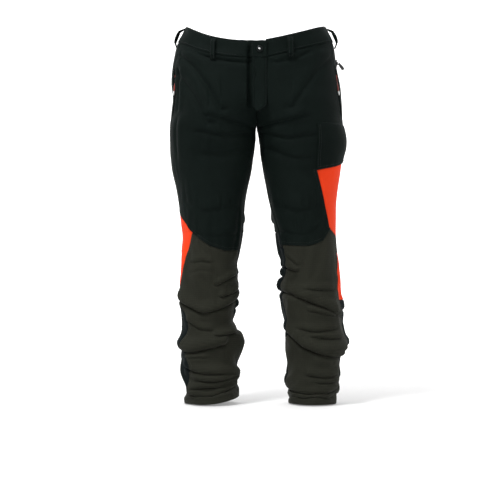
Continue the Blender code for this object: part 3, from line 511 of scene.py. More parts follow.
def settle(side):
    """Cloth simulation of one leg's sleeve, cut longer than the leg so that it bunches.

    Only its local wrinkles are kept, so that the leg stays round the pads inside it.
    """
    angles = -180 + 360 * np.arange(SIM_COLUMNS) / SIM_COLUMNS
    heights = SIM_TOP_Z + (HEM_Z - SIM_TOP_Z) * np.arange(SIM_ROWS) / (SIM_ROWS - 1)
    grid_z, grid_angle = np.meshgrid(heights, angles, indexing="ij")
    start = shape(side, grid_angle, grid_z)
    faces = []
    for j in range(SIM_ROWS - 1):
        for k in range(SIM_COLUMNS):
            a, b = j * SIM_COLUMNS + k, j * SIM_COLUMNS + (k + 1) % SIM_COLUMNS
            faces.append((a, b, b + SIM_COLUMNS, a + SIM_COLUMNS))
    mesh = bpy.data.meshes.new("sleeve")
    mesh.from_pydata(start.reshape(-1, 3).tolist(), [], faces)
    sleeve = bpy.data.objects.new("sleeve", mesh)
    bpy.context.scene.collection.objects.link(sleeve)
    sleeve.shape_key_add(name="Basis")
    slack = sleeve.shape_key_add(name="slack")
    longer = start.copy()
    stretch = 1 + (SIM_SLACK - 1) * step_up(-grid_z, 0.40, 0.60)
    drops = np.diff(grid_z, axis=0) * (stretch[1:] - 1)
    longer[1:, :, 2] += np.cumsum(drops, axis=0)
    slack.data.foreach_set("co", longer.reshape(-1))
    held = sleeve.vertex_groups.new(name="held")
    weights = 0.10 + 0.90 * step_up(-grid_z, 0.905, 0.918) + 0.90 * (1 - step_up(-grid_z, 0.28, 0.36))
    weights = np.clip(weights + 0.14 * (1 - step_up(-grid_z, 0.40, 0.55)), 0, 1)
    for j in range(SIM_ROWS):
        held.add(list(range(j * SIM_COLUMNS, (j + 1) * SIM_COLUMNS)), float(weights[j, 0]), "REPLACE")
    cloth = sleeve.modifiers.new("Cloth", "CLOTH")
    for key, value in CLOTH.items():
        setattr(cloth.settings, key, value)
    cloth.settings.vertex_group_mass = "held"
    cloth.settings.rest_shape_key = slack
    cloth.settings.effector_weights.gravity = 0.35
    cloth.collision_settings.use_collision = False
    scene = bpy.context.scene
    for step in range(1, SIM_FRAMES + 1):
        scene.frame_set(step)
    shown = sleeve.evaluated_get(bpy.context.evaluated_depsgraph_get()).data
    end = np.empty(len(shown.vertices) * 3)
    shown.vertices.foreach_get("co", end)
    scene.frame_set(1)
    bpy.data.objects.remove(sleeve)
    moved = end.reshape(start.shape) - start
    moved = moved - blurred(moved)
    far = np.linalg.norm(moved, axis=-1, keepdims=True)
    return moved * SIM_REACH * np.tanh(far / SIM_REACH) / np.maximum(far, 1e-9)


for leg in SIDES:
    settled[leg] = settle(leg)


# --- Panels ---

def front_edge(side, z):
    share = np.clip((FLY_END_Z - z) / (FLY_END_Z - FLY_JOIN_Z), 0, 1)
    return FLY_SLOT[side] + (SEAM_GAP / 2 - FLY_SLOT[side]) * share


def slit(z):
    inside = np.minimum(HIP_ZIP_TOP_Z + SLIT_RAMP - z, z - HIP_ZIP_END_Z + SLIT_RAMP) / SLIT_RAMP
    return SEAM_GAP / 2 + (HIP_SLIT / 2 - SEAM_GAP / 2) * np.clip(inside, 0, 1)


side_seam = both(smooth, SIDE_SEAM)
side_edge = both(straight, SIDE_PANEL_EDGE)
calf_edge = both(straight, CALF_PANEL_EDGE)
knee_seam = both(straight, KNEE_SEAM)
inseam_lean = both(smooth, INSEAM_LEAN)


def side_line(side, z):
    above = side_seam[side](z)
    middle = np.where(z > SIDE_PANEL_END_Z, side_edge[side](z), calf_edge[side](z))
    return np.where(z > SIDE_PANEL_TOP_Z[side], above, middle)


def panel_edge(side, sign):
    def at(z):
        lean = slant_of(side, lambda z: side_line(side, z), z)
        return side_line(side, z) + sign * degrees_for(side, z, slit(z)) * lean
    return at


def inner_edge(side, front, edge):
    def at(z):
        z = np.asarray(z, float)
        x = edge(z) if callable(edge) else edge
        above = angle_at(side, z, x, front)
        turn = 180 - inseam_lean[side](z) * (1 if front else -1) - degrees_for(side, z, SEAM_GAP / 2)
        return np.where(z > CROTCH_Z, above, -turn if front else turn)
    return at


def seat_start(side):
    top = SIDE_PANEL_TOP_Z[side]

    def at(z):
        line = np.where(z > top, side_seam[side](z), BACK_SEAM)
        share = np.where(z > top, np.clip(1 - (z - top) / SEAT_TURN, 0, 1), 0)
        return line + (BACK_SEAM - line) * share + degrees_for(side, z, slit(z))
    return at


def side_top(side):
    """The side panel's top line rises towards its front corner, along the seat panel's turned edge."""
    top = SIDE_PANEL_TOP_Z[side]

    def at(angle):
        front = side_seam[side](top)
        share = np.clip((BACK_SEAM - angle) / (BACK_SEAM - front), 0, 1)
        return top - SEAM_GAP + SEAT_TURN * share
    return at


def back_seam(side, sign):
    """The edge behind (1) or before (-1) the seam down the back of the side panels."""
    return lambda z: BACK_SEAM + sign * degrees_for(side, z, SEAM_GAP / 2)


def ladder(length, step, before, after):
    """Shares from 0 to 1 with a fine first and last step, and the distances that run past them."""
    count = max(int(round(length / step)), 3)
    fine = min(0.0012 / length, 0.25 / count)
    inside = np.concatenate([[0, fine], np.arange(1, count) / count, [1 - fine, 1]])
    spans = [(0.0, -d) for d in reversed(before)] + [(s, 0.0) for s in inside] + [(1.0, d) for d in after]
    return np.array(spans)


# An edge is lapped over its neighbour, tucked under it, butted against it, or left as it is. The
# cloth runs past the seam by these distances.
PAST = {"o": (), "u": (0.0018, LAP), "b": (0.0007,), "n": ()}


def edge_shift(kind, inside, thick):
    """Height of the cloth near one of its edges, by its kind."""
    if kind == "o":
        return 0.0006 * (1 - step_up(inside, 0.0045, 0.0065)) - 0.0003 * (1 - step_up(inside, 0, 0.0012))
    if kind == "u":
        return -(thick + 0.0004) * (1 - step_up(inside, 0.0, 0.0025))
    if kind == "b":
        return -0.0017 * (1 - step_up(inside, -0.0006, 0.0022))
    return 0.0


def slant_of(side, edge, z):
    """How much longer a seam is than the height that it covers, where it leans."""
    lean = (edge(z + 0.002) - edge(z - 0.002)) * np.radians(half_width(side, z)) / 0.004
    return np.minimum(np.hypot(1, lean), 5.0)


def lattice(side, start, end, top, bottom, edges, step=CLOTH_STEP, thick=THICKNESS, lift=0.0,
            bulge=None, plain=False):
    """Points, fabric coordinates and turn of a panel between four seam lines.

    The edges are the kinds of its start, end, top and bottom. A bulge is a height over the shares
    across and down, and a plain panel lies on the plain surface.
    """
    middle_z = float(np.mean([top(-60), bottom(-60)]))
    wide = abs(float(np.ptp([[start(z), end(z)] for z in (middle_z, middle_z + 0.02)], axis=1).max()))
    wide = max(math.radians(wide) * float(half_width(side, middle_z)), 0.01)
    high = max(float(top(-60) - bottom(-60)), 0.01)
    columns = ladder(wide, step, PAST[edges[0]], PAST[edges[1]])
    rows = ladder(high, step, PAST[edges[2]], PAST[edges[3]])
    share, past = columns[:, 0][None, :], columns[:, 1][None, :]
    down, below = rows[:, 0][:, None], rows[:, 1][:, None]
    top_z, bottom_z = np.full((1, len(columns)), middle_z), np.full((1, len(columns)), middle_z)
    for _ in range(60):
        top_z += (top(start(top_z) + (end(top_z) - start(top_z)) * share) - top_z) * 0.5
        bottom_z += (bottom(start(bottom_z) + (end(bottom_z) - start(bottom_z)) * share) - bottom_z) * 0.5
    z = top_z + (bottom_z - top_z) * down - below
    slant = np.where(past < 0, slant_of(side, start, z), slant_of(side, end, z))
    angle = start(z) + (end(z) - start(z)) * share + degrees_for(side, z, past) * slant
    across = np.radians(np.abs(end(z) - start(z))) * half_width(side, z)
    tall = np.abs(top(angle) - bottom(angle))
    rise = (edge_shift(edges[0], share * across + np.minimum(past, 0), thick)
            + edge_shift(edges[1], (1 - share) * across - np.maximum(past, 0), thick)
            + edge_shift(edges[2], down * tall + np.minimum(below, 0), thick)
            + edge_shift(edges[3], (1 - down) * tall - np.maximum(below, 0), thick))
    rise = np.maximum(rise, -(thick + 0.0006)) + lift
    if bulge:
        rise = rise + bulge(share, down)
    if plain:
        points = surface(side, angle, z) + outward(side, angle, z) * rise[..., None]
    else:
        points = shape(side, angle, z, rise)
    return points, leg_coords(angle, z), SIDES[side]


def leg_coords(angle, z):
    """Fabric coordinates in metres of places on a leg."""
    return np.stack([np.radians(angle + 90) * MEAN_RADIUS, z], -1)


def facing_of(points, turn):
    """Outward directions of a grid of points."""
    across = np.gradient(points, axis=1)
    down = np.gradient(points, axis=0)
    return unit(np.cross(down, across) * turn)


def cloth_piece(name, parts, thick, look, body, nodes, slot, closed=False):
    """A closed sheet of cloth with rounded rims from a grid of points on its outer face."""
    points, coords, turn = parts
    if closed:
        wrapped = np.concatenate([points[:, -1:], points, points[:, :1]], axis=1)
        normals = facing_of(wrapped, turn)[:, 1:-1]
    else:
        normals = facing_of(points, turn)
    rows, columns = points.shape[:2]
    inner = points - normals * thick
    verts = np.concatenate([points.reshape(-1, 3), inner.reshape(-1, 3)])
    index = np.arange(rows * columns).reshape(rows, columns)
    nxt = np.concatenate([index[:, 1:], index[:, :1]], axis=1) if closed else index[:, 1:]
    a, b = (index if closed else index[:, :-1])[:-1], nxt[:-1]
    c, d = nxt[1:], (index if closed else index[:, :-1])[1:]
    quads = np.stack([a, b, c, d], -1).reshape(-1, 4)
    half = rows * columns
    faces = np.concatenate([quads, quads[:, ::-1] + half])
    if closed:
        rims = [list(index[0]), [index[-1, 0]] + list(index[-1, :0:-1])]
    else:
        rims = [list(index[0]) + list(index[1:, -1]) + list(index[-1, -2::-1]) + list(index[-2:0:-1, 0])]
    outer = points.reshape(-1, 3)
    middle = (outer + inner.reshape(-1, 3)) / 2
    facing = normals.reshape(-1, 3)
    extra, rim_faces = [], []
    for rim in rims:
        count = len(rim)
        base = len(verts) + len(extra)
        for k in range(count):
            n = (k + 1) % count
            lateral = unit(np.cross(outer[rim[n]] - outer[rim[k - 1]], facing[rim[k]]))
            extra.append(middle[rim[k]] - lateral * thick * RIM_ROUNDING * turn)
            rim_faces.append((rim[n], rim[k], base + k, base + n))
            rim_faces.append((base + n, base + k, rim[k] + half, rim[n] + half))
    verts = np.concatenate([verts, np.array(extra)])
    faces = faces.tolist() + rim_faces
    mesh = bpy.data.meshes.new(name)
    mesh.from_pydata(verts.tolist(), [], faces)
    flat = coords.reshape(-1, 2)
    places = np.concatenate([flat, flat] + [flat[rim] for rim in rims])
    layer = mesh.uv_layers.new(name="cloth")
    corner = np.empty(len(mesh.loops), int)
    mesh.loops.foreach_get("vertex_index", corner)
    layer.data.foreach_set("uv", places[corner].reshape(-1))
    tidy_normals(mesh, 70)
    return place(name, mesh, look, body, nodes, slot)


def tidy_normals(mesh, angle):
    work = bmesh.new()
    work.from_mesh(mesh)
    bmesh.ops.recalc_face_normals(work, faces=work.faces)
    work.to_mesh(mesh)
    work.free()
    mesh.shade_smooth()
    mesh.set_sharp_from_angle(angle=math.radians(angle))


def place(name, mesh, look, body, nodes=(), slot=None):
    piece = bpy.data.objects.new(name, mesh)
    bpy.context.scene.collection.objects.link(piece)
    if not mesh.materials:
        mesh.materials.append(look)
    if body:
        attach(piece, body)
    if nodes:
        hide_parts(*nodes)
    return piece


# --- Thread ---

STITCH = 0.0027
STITCH_PITCH = 0.0037
THREAD_RADIUS = 0.00036
NEAR_ROW = 0.0022
FAR_ROW = 0.0070
THREAD_RINGS = [(-0.5, 0.35), (-0.32, 1.0), (0.32, 1.0), (0.5, 0.35)]


def rods(bars, rings, corners):
    """Vertices and faces of short rods: each bar is its middle, half length, and two radii at right angles.

    The rings are (share of the half length, share of the radius) pairs.
    """
    verts, faces = [], []
    turns = np.radians(np.arange(corners) * 360.0 / corners)
    for middle, half, wide, high in bars:
        base = len(verts)
        for share, size in rings:
            for turn in turns:
                verts.append(middle + half * share + (wide * math.cos(turn) + high * math.sin(turn)) * size)
        for ring in range(len(rings) - 1):
            for i in range(corners):
                a, b = base + ring * corners + i, base + ring * corners + (i + 1) % corners
                faces.append((a, b, b + corners, a + corners))
        last = base + (len(rings) - 1) * corners
        faces.append(tuple(base + i for i in reversed(range(corners))))
        faces.append(tuple(last + i for i in range(corners)))
    return [tuple(v) for v in verts], faces


def stitches(name, lines, look, parent=None, body=None):
    """Rows of sewn stitches: one short rounded length of thread after another along each line."""
    bars = []
    for points, normals in lines:
        steps = np.linalg.norm(np.diff(points, axis=0), axis=1)
        path = np.concatenate([[0], np.cumsum(steps)])
        count = int(path[-1] / STITCH_PITCH)
        at = (np.arange(count) + 0.5) * path[-1] / max(count, 1)
        centre, ahead, behind, facing = [
            np.stack([np.interp(at + d, path, values[:, i]) for i in range(3)], -1)
            for d, values in ((0, points), (0.001, points), (-0.001, points), (0, normals))]
        normal, along = unit(facing), unit(ahead - behind)
        wide = unit(np.cross(along, normal))
        bars += list(zip(centre, along * STITCH, wide * THREAD_RADIUS, normal * THREAD_RADIUS * 0.7))
    verts, faces = rods(bars, THREAD_RINGS, 5)
    mesh = bpy.data.meshes.new(name)
    mesh.from_pydata(verts, [], faces)
    mesh.shade_smooth()
    piece = place(name, mesh, look, body)
    if parent:
        piece.parent = parent


def seam_path(side, angle_of, heights, lift=0.0004):
    """A line down a leg at a turn angle that depends on height."""
    angles = angle_of(heights)
    return shape(side, angles, heights, lift), outward(side, angles, heights)


def level_path(side, height_of, angles, lift=0.0004):
    """A line round a leg at a height that depends on the turn angle."""
    heights = height_of(angles)
    return shape(side, angles, heights, lift), outward(side, angles, heights)


def upright_rows(side, edge, sign, gaps, low, high, lift=0.0004):
    """Rows of stitching at distances from a seam that runs down a leg, between two heights."""
    heights = np.arange(low, high, 0.004)[::-1]
    return [seam_path(side, lambda z: edge(z) + sign * degrees_for(side, z, gap), heights, lift)
            for gap in gaps]


def level_rows(side, edge, gaps, low, high, lift=0.0004):
    """Rows of stitching at distances above a seam that runs round a leg, between two turn angles."""
    angles = np.arange(low, high, 1.5)
    return [level_path(side, lambda a: edge(a) + gap, angles, lift) for gap in gaps]


# --- Materials: all procedural, on the fabric coordinates ---

class Nodes:
    """A short way to lay out a material's nodes."""

    def __init__(self, name, colour, roughness, **plain):
        self.material = bpy.data.materials.new(name)
        self.material.use_nodes = True
        self.tree = self.material.node_tree
        self.shader = self.tree.nodes["Principled BSDF"]
        self.shader.inputs["Base Color"].default_value = (*colour, 1)
        self.shader.inputs["Roughness"].default_value = roughness
        for key, value in plain.items():
            self.shader.inputs[key.replace("_", " ")].default_value = value

    def add(self, kind, inputs=None, **settings):
        node = self.tree.nodes.new(kind)
        for key, value in settings.items():
            setattr(node, key, value)
        for key, value in (inputs or {}).items():
            if isinstance(value, bpy.types.NodeSocket):
                self.tree.links.new(value, node.inputs[key])
            else:
                node.inputs[key].default_value = value
        return node

    def math(self, operation, a, b=0.0, c=0.0):
        return self.add("ShaderNodeMath", {0: a, 1: b, 2: c}, operation=operation).outputs[0]

    def cloth_axes(self):
        cloth = self.add("ShaderNodeUVMap", uv_map="cloth").outputs[0]
        split = self.add("ShaderNodeSeparateXYZ", {0: cloth})
        return split.outputs[0], split.outputs[1]

    def threads(self, place, pitch):
        """A rounded ridge that repeats every pitch metres."""
        turned = self.math("MULTIPLY", place, 2 * math.pi / pitch)
        return self.math("MULTIPLY_ADD", self.math("SINE", turned), 0.5, 0.5)

    def noise(self, scale, detail=3.0, where=None):
        source = where or self.add("ShaderNodeTexCoord").outputs["Object"]
        return self.add("ShaderNodeTexNoise", {"Vector": source, "Scale": scale, "Detail": detail}).outputs[0]

    def colour(self, share, low, high):
        mix = self.add("ShaderNodeMix", {0: share, 6: (*low, 1), 7: (*high, 1)}, data_type="RGBA")
        self.tree.links.new(mix.outputs[2], self.shader.inputs["Base Color"])

    def roughness(self, share, low, high):
        spread = self.add("ShaderNodeMapRange", {0: share, 3: low, 4: high})
        self.tree.links.new(spread.outputs[0], self.shader.inputs["Roughness"])

    def bump(self, height, distance, strength=1.0, below=None):
        made = self.add("ShaderNodeBump", {"Height": height, "Distance": distance, "Strength": strength})
        if below is not None:
            self.tree.links.new(below, made.inputs["Normal"])
        self.tree.links.new(made.outputs[0], self.shader.inputs["Normal"])
        return made.outputs[0]


def weave(name, low, high, pitch, depth, roughness, rib=0.0, **plain):
    """A woven cloth: crossing threads, slow unevenness of dye, and a fine nap."""
    n = Nodes(name, low, roughness, **plain)
    u, v = n.cloth_axes()
    across, along = n.threads(u, pitch), n.threads(v, pitch)
    diagonal = n.threads(n.math("ADD", u, v), pitch * 1.9)
    cross = n.math("MAXIMUM", n.math("MULTIPLY", across, diagonal), n.math("MULTIPLY", along, 0.85))
    dye = n.noise(9.0, 4.0)
    nap = n.noise(900.0, 2.0)
    share = n.math("MULTIPLY_ADD", dye, 0.9, n.math("MULTIPLY_ADD", nap, 0.5, -0.25))
    if rib:
        grid = n.math("MAXIMUM", n.math("POWER", n.threads(u, rib), 14.0),
                      n.math("POWER", n.threads(v, rib), 14.0))
        share = n.math("MULTIPLY_ADD", grid, 0.55, share)
        cross = n.math("MULTIPLY_ADD", grid, 1.1, cross)
    n.colour(n.math("MULTIPLY_ADD", cross, 0.22, share), low, high)
    n.roughness(dye, roughness - 0.08, min(roughness + 0.08, 1.0))
    fine = n.bump(cross, depth, 0.6)
    n.bump(n.noise(55.0, 4.0), 0.0007, 0.5, fine)
    return n.material


def pile(name, low, high, scale, depth, roughness, **plain):
    """A fibrous surface, with no threads in it."""
    n = Nodes(name, low, roughness, **plain)
    grain = n.noise(scale, 6.0)
    n.colour(grain, low, high)
    n.bump(grain, depth, 0.7)
    return n.material


def moulded(name, low, high, roughness, **plain):
    """A moulded or plated surface with fine wear and handling marks."""
    n = Nodes(name, low, roughness, **plain)
    marks = n.noise(260.0, 5.0)
    places = n.add("ShaderNodeTexCoord").outputs["Object"]
    stretch = n.add("ShaderNodeMapping", {0: places, 3: (900, 900, 60)})
    brushed = n.noise(1.0, 2.0, stretch.outputs[0])
    n.colour(n.math("MULTIPLY_ADD", marks, 0.5, n.math("MULTIPLY", brushed, 0.5)), low, high)
    n.roughness(marks, roughness - 0.07, roughness + 0.12)
    n.bump(brushed, 0.00008, 0.6)
    return n.material


def sheen(weight, tint, shine=0.16):
    return {"Sheen_Weight": weight, "Sheen_Roughness": 0.45, "Sheen_Tint": (*tint, 1),
            "Specular_IOR_Level": shine}


black = weave("softshell", (0.0014, 0.0032, 0.0026), (0.0042, 0.0072, 0.0062), 0.0011, 0.00022, 0.72,
              **sheen(0.012, (0.75, 0.95, 0.92), 0.04))
calf_black = weave("calf_softshell", (0.0018, 0.0034, 0.0034), (0.0046, 0.0076, 0.0078), 0.0014, 0.00026,
                   0.72, **sheen(0.010, (0.8, 0.9, 1.0), 0.04))
olive = weave("ripstop", (0.0075, 0.0081, 0.0052), (0.0158, 0.0165, 0.0115), 0.0010, 0.00022, 0.80,
              rib=0.0052, **sheen(0.02, (0.95, 0.95, 0.85), 0.10))
orange = weave("orange_knit", (0.58, 0.029, 0.005), (0.76, 0.047, 0.009), 0.0013, 0.00024, 0.75,
               **sheen(0.02, (1.0, 0.6, 0.4), 0.08))
lining = weave("mesh_lining", (0.030, 0.032, 0.034), (0.085, 0.088, 0.092), 0.0030, 0.00050, 0.85)
fibre = pile("pad_fibre", (0.52, 0.48, 0.36), (0.86, 0.82, 0.70), 420.0, 0.0012, 0.9)
webbing = weave("red_webbing", (0.12, 0.010, 0.006), (0.26, 0.022, 0.012), 0.0009, 0.00030, 0.6,
                **sheen(0.1, (1.0, 0.6, 0.5)))
elastic = weave("elastic_band", (0.012, 0.012, 0.013), (0.050, 0.050, 0.052), 0.0022, 0.00060, 0.75)
coil = moulded("zip_coil", (0.006, 0.006, 0.006), (0.020, 0.020, 0.021), 0.42)
plastic = moulded("black_moulding", (0.008, 0.008, 0.009), (0.024, 0.024, 0.025), 0.40)
metal = moulded("plated_metal", (0.58, 0.58, 0.57), (0.80, 0.80, 0.79), 0.26, Metallic=1.0)
thread = weave("black_thread", (0.004, 0.006, 0.006), (0.012, 0.015, 0.014), 0.0006, 0.0001, 0.6,
               **sheen(0.01, (1, 1, 1), 0.15))
olive_thread = weave("olive_thread", (0.026, 0.027, 0.020), (0.048, 0.048, 0.040), 0.0006, 0.0001, 0.6,
                     **sheen(0.01, (1, 1, 1), 0.15))
gunmetal = moulded("dark_plated_metal", (0.010, 0.012, 0.012), (0.026, 0.029, 0.029), 0.36, Metallic=1.0)

GARMENT = "garment"
NODE_LOOKS = {
    "orange_softshell": orange, "olive_ripstop": olive, "black_softshell": black,
    "grey_lining": lining, "pad_fibre": fibre, "black_plastic": plastic, "zip_metal": metal,
    "red_tape": webbing,
}


def panel(name, parts, thick, slot, look=None, body=GARMENT, closed=False):
    """A cut piece of cloth: its mesh. It is black unless told otherwise."""
    piece = cloth_piece(name, parts, thick, look or black, body, [name], slot, closed)
    return piece


# --- Leg and hip panels ---

def knee_at(side, shift):
    return lambda angle: knee_seam[side](angle) + shift


def make_front(side):
    start, end = inner_edge(side, True, lambda z: front_edge(side, z)), panel_edge(side, -1)
    top, bottom = under_top(side, WAISTBAND_HEIGHT + SEAM_GAP), knee_at(side, SEAM_GAP / 2)
    edges = "uouo" if side == "right" else "bouo"
    parts = lattice(side, start, end, top, bottom, edges)
    piece = panel("front_" + side, parts, THICKNESS, "black_softshell")
    rows = upright_rows(side, end, -1, (NEAR_ROW, 0.0075), -0.50, -0.098)
    rows += level_rows(side, bottom, (NEAR_ROW, FAR_ROW), -172, -50)
    stitches("front_stitching_" + side, rows, thread, piece)


def make_knee(side):
    start, end = inner_edge(side, True, 0), panel_edge(side, -1)
    top, bottom = knee_at(side, -SEAM_GAP / 2), level(HEM_BAND_TOP_Z + SEAM_GAP)
    parts = lattice(side, start, end, top, bottom, "boun")
    piece = panel("knee_" + side, parts, THICKNESS, "olive_ripstop", olive)
    rows = upright_rows(side, end, -1, (NEAR_ROW, FAR_ROW), -0.888, -0.51)
    stitches("knee_stitching_" + side, rows, olive_thread, piece)


def make_seat(side):
    start, end = seat_start(side), inner_edge(side, False, SEAM_GAP / 2)
    top = under_top(side, WAISTBAND_HEIGHT + SEAM_GAP)
    parts = lattice(side, start, end, top, level(SEAT_END_Z), "obuo")
    piece = panel("seat_" + side, parts, THICKNESS, "black_softshell")
    rows = upright_rows(side, start, 1, (NEAR_ROW, ), -0.495, -0.055)
    rows += upright_rows(side, end, -1, (0.0040, 0.0090), -0.235, -0.055)
    rows += level_rows(side, level(SEAT_END_Z), (NEAR_ROW, FAR_ROW), 36, 172)
    stitches("seat_stitching_" + side, rows, thread, piece)


def make_back_leg(side):
    start, end = back_seam(side, 1), inner_edge(side, False, 0)
    top, bottom = level(SEAT_END_Z - SEAM_GAP), level(HEM_BAND_TOP_Z + SEAM_GAP)
    parts = lattice(side, start, end, top, bottom, "obun")
    piece = panel("back_leg_" + side, parts, THICKNESS, "black_softshell", calf_black)
    rows = upright_rows(side, start, 1, (NEAR_ROW, FAR_ROW), -0.888, -0.505)
    stitches("back_leg_stitching_" + side, rows, thread, piece)


def make_side_panels(side):
    start, end = panel_edge(side, 1), back_seam(side, -1)
    parts = lattice(side, start, end, side_top(side), level(SIDE_PANEL_END_Z), "uuun")
    panel("side_" + side, parts, THICKNESS, "orange_softshell", orange)
    top, bottom = level(SIDE_PANEL_END_Z - SEAM_GAP), level(HEM_BAND_TOP_Z + SEAM_GAP)
    parts = lattice(side, start, end, top, bottom, "uuun")
    panel("side_calf_" + side, parts, THICKNESS, "black_softshell", calf_black)


def ring_lattice(side, heights, count, lift, plain):
    angles = -180 + 360 * np.arange(count) / count
    z, angle = np.meshgrid(heights, angles, indexing="ij")
    lift = np.broadcast_to(lift, z.shape)
    points = (surface(side, angle, z) + outward(side, angle, z) * lift[..., None] if plain
              else shape(side, angle, z, lift))
    return points, leg_coords(angle, z), SIDES[side]


def make_hem(side):
    heights = np.linspace(HEM_BAND_TOP_Z + 0.0005, HEM_Z, 12)
    lift = (0.0007 - 0.0004 * step_up(heights, HEM_BAND_TOP_Z - 0.003, HEM_BAND_TOP_Z))[:, None]
    parts = ring_lattice(side, heights, 160, lift, False)
    piece = panel("hem_" + side, parts, 0.0024, "olive_ripstop", olive, closed=True)
    rows = level_rows(side, level(HEM_BAND_TOP_Z), (-0.0028, -FAR_ROW), -180, 181, 0.0012)
    stitches("hem_stitching_" + side, rows, olive_thread, piece)


def make_inner_leg(side):
    top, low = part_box("lining_" + side)[1].z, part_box("lining_" + side)[0].z
    heights = np.linspace(top, low, 70)
    waves = 0.0012 * np.sin(np.linspace(0, 60, 70))[:, None]
    parts = ring_lattice(side, heights, 84, -0.0163 + waves, True)
    panel("lining_" + side, parts, 0.0008, "grey_lining", lining, closed=True)
    top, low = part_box("saw_pad_" + side)[1].z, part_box("saw_pad_" + side)[0].z

    def quilt(share, down):
        rows = np.abs(np.sin(np.pi * share * 4)) * np.abs(np.sin(np.pi * down * 9))
        return 0.0012 * np.sqrt(rows) - 0.0012

    parts = lattice(side, fixed(-172), fixed(24), level(top), level(low), "nnnn", 0.005, 0.0040,
                    -0.0072, quilt, True)
    pad = cloth_piece("saw_pad_" + side, parts, 0.0038, fibre, GARMENT, ["saw_pad_" + side], "pad_fibre")


def make_thigh_pocket():
    def bulge(share, down):
        flush = 0.0011 * (1 - step_up(down, 0.0, 0.10))
        return 0.0042 * (np.sin(np.pi * share) * np.sin(np.pi * down)) ** 0.8 - flush

    foot = straight([(-72, -0.3525), (-35, -0.3415), (2, -0.3270)])
    parts = lattice("left", fixed(-72), fixed(1), level(-0.240), foot, "oooo", 0.0026, 0.0016, 0.0022,
                    bulge)
    piece = panel("thigh_pocket_left", parts, 0.0016, "black_softshell")
    rows = upright_rows("left", fixed(-72), 1, (NEAR_ROW, FAR_ROW), -0.345, -0.243, 0.0048)
    rows += level_rows("left", foot, (NEAR_ROW, FAR_ROW), -70, 0, 0.0050)
    stitches("pocket_stitching", rows, thread, piece)


# --- Waistband ---

def front_turn_line(side, reach):
    def at(z):
        share = np.maximum((reach - centre_line[side](z)) / half_width(side, z), -1)
        return -90 + np.degrees(np.arcsin(power(share, roundness(z) / 2)))
    return at


def band_swell(share, down):
    return 0.0004 * np.sin(share * 21) * np.sin(np.pi * down) - 0.0006 * (2 * down - 1) ** 8


def joined(first, second):
    """Two halves of a band as one grid, where the first ends and the second begins backwards."""
    points = np.concatenate([first[0], second[0][:, -2::-1]], axis=1)
    coords = np.concatenate([first[1], second[1][:, -2::-1] * [-1, 1] + [0.6, 0]], axis=1)
    return points, coords, first[2]


def make_waistband():
    for side, reach, lift in (("left", 0.0225, 0.0014), ("right", -0.0185, 0.0006)):
        parts = lattice(side, front_turn_line(side, reach), fixed(1.95), under_top(side, 0),
                        under_top(side, WAISTBAND_HEIGHT), "nnnn",
                        0.003, 0.0026, lift, band_swell)
        piece = panel("waistband_" + side, parts, 0.0026, "black_softshell")
        angles = np.arange(-82, 1, 1.5)
        rows = [level_path(side, under_top(side, d), angles, lift + 0.0004)
                for d in (0.0030, WAISTBAND_HEIGHT - 0.0030)]
        stitches("waistband_stitching_" + side, rows, thread, piece)
        parts = lattice(side, front_turn_line(side, 0.045 if side == "left" else 0.028), fixed(19),
                        under_top(side, 0.003), under_top(side, WAISTBAND_HEIGHT - 0.003), "nnnn",
                        0.006, 0.001, -0.0038, None, True)
        panel("waistband_facing_" + side, parts, 0.0010, "grey_lining", lining)
    halves = [lattice(side, fixed(2.05), fixed(90), under_top(side, 0),
                      under_top(side, WAISTBAND_HEIGHT), "nnnn", 0.003, 0.0026, 0.0012,
                      lambda share, down: 0.0008 * np.sin(share * 90) * np.sin(np.pi * down) ** 0.5
                      * share - 0.0006 * (2 * down - 1) ** 8) for side in SIDES]
    back = panel("waistband_back", joined(*halves), 0.0026, "black_softshell")
    rows = [level_path(side, under_top(side, d), np.arange(3, 90, 1.5), 0.0018)
            for side in SIDES for d in (0.0030, WAISTBAND_HEIGHT - 0.0030)]
    stitches("waistband_back_stitching", rows, thread, back)
    halves = [lattice(side, fixed(20), fixed(90), under_top(side, 0.004),
                      under_top(side, WAISTBAND_HEIGHT - 0.004), "nnnn", 0.003, 0.001, -0.0038,
                      lambda share, down: 0.0005 * np.sin(share * 120), True) for side in SIDES]
    panel("waistband_elastic", joined(*halves), 0.0010, "black_softshell", elastic)


def grid_frame(origin, normal, up=Vector((0, 0, 1))):
    """A frame whose Y points out of the fabric and whose Z points up along it."""
    y = Vector(normal).normalized()
    z = (up - y * up.dot(y)).normalized()
    x = y.cross(z)
    return Matrix([(x[i], y[i], z[i], origin[i]) for i in range(3)] + [(0, 0, 0, 1)])


def turn_to(points, out):
    """Which way round a grid has to be for its face to look out."""
    return 1 if float(facing_of(points, 1).mean((0, 1)) @ np.array(out)) > 0 else -1


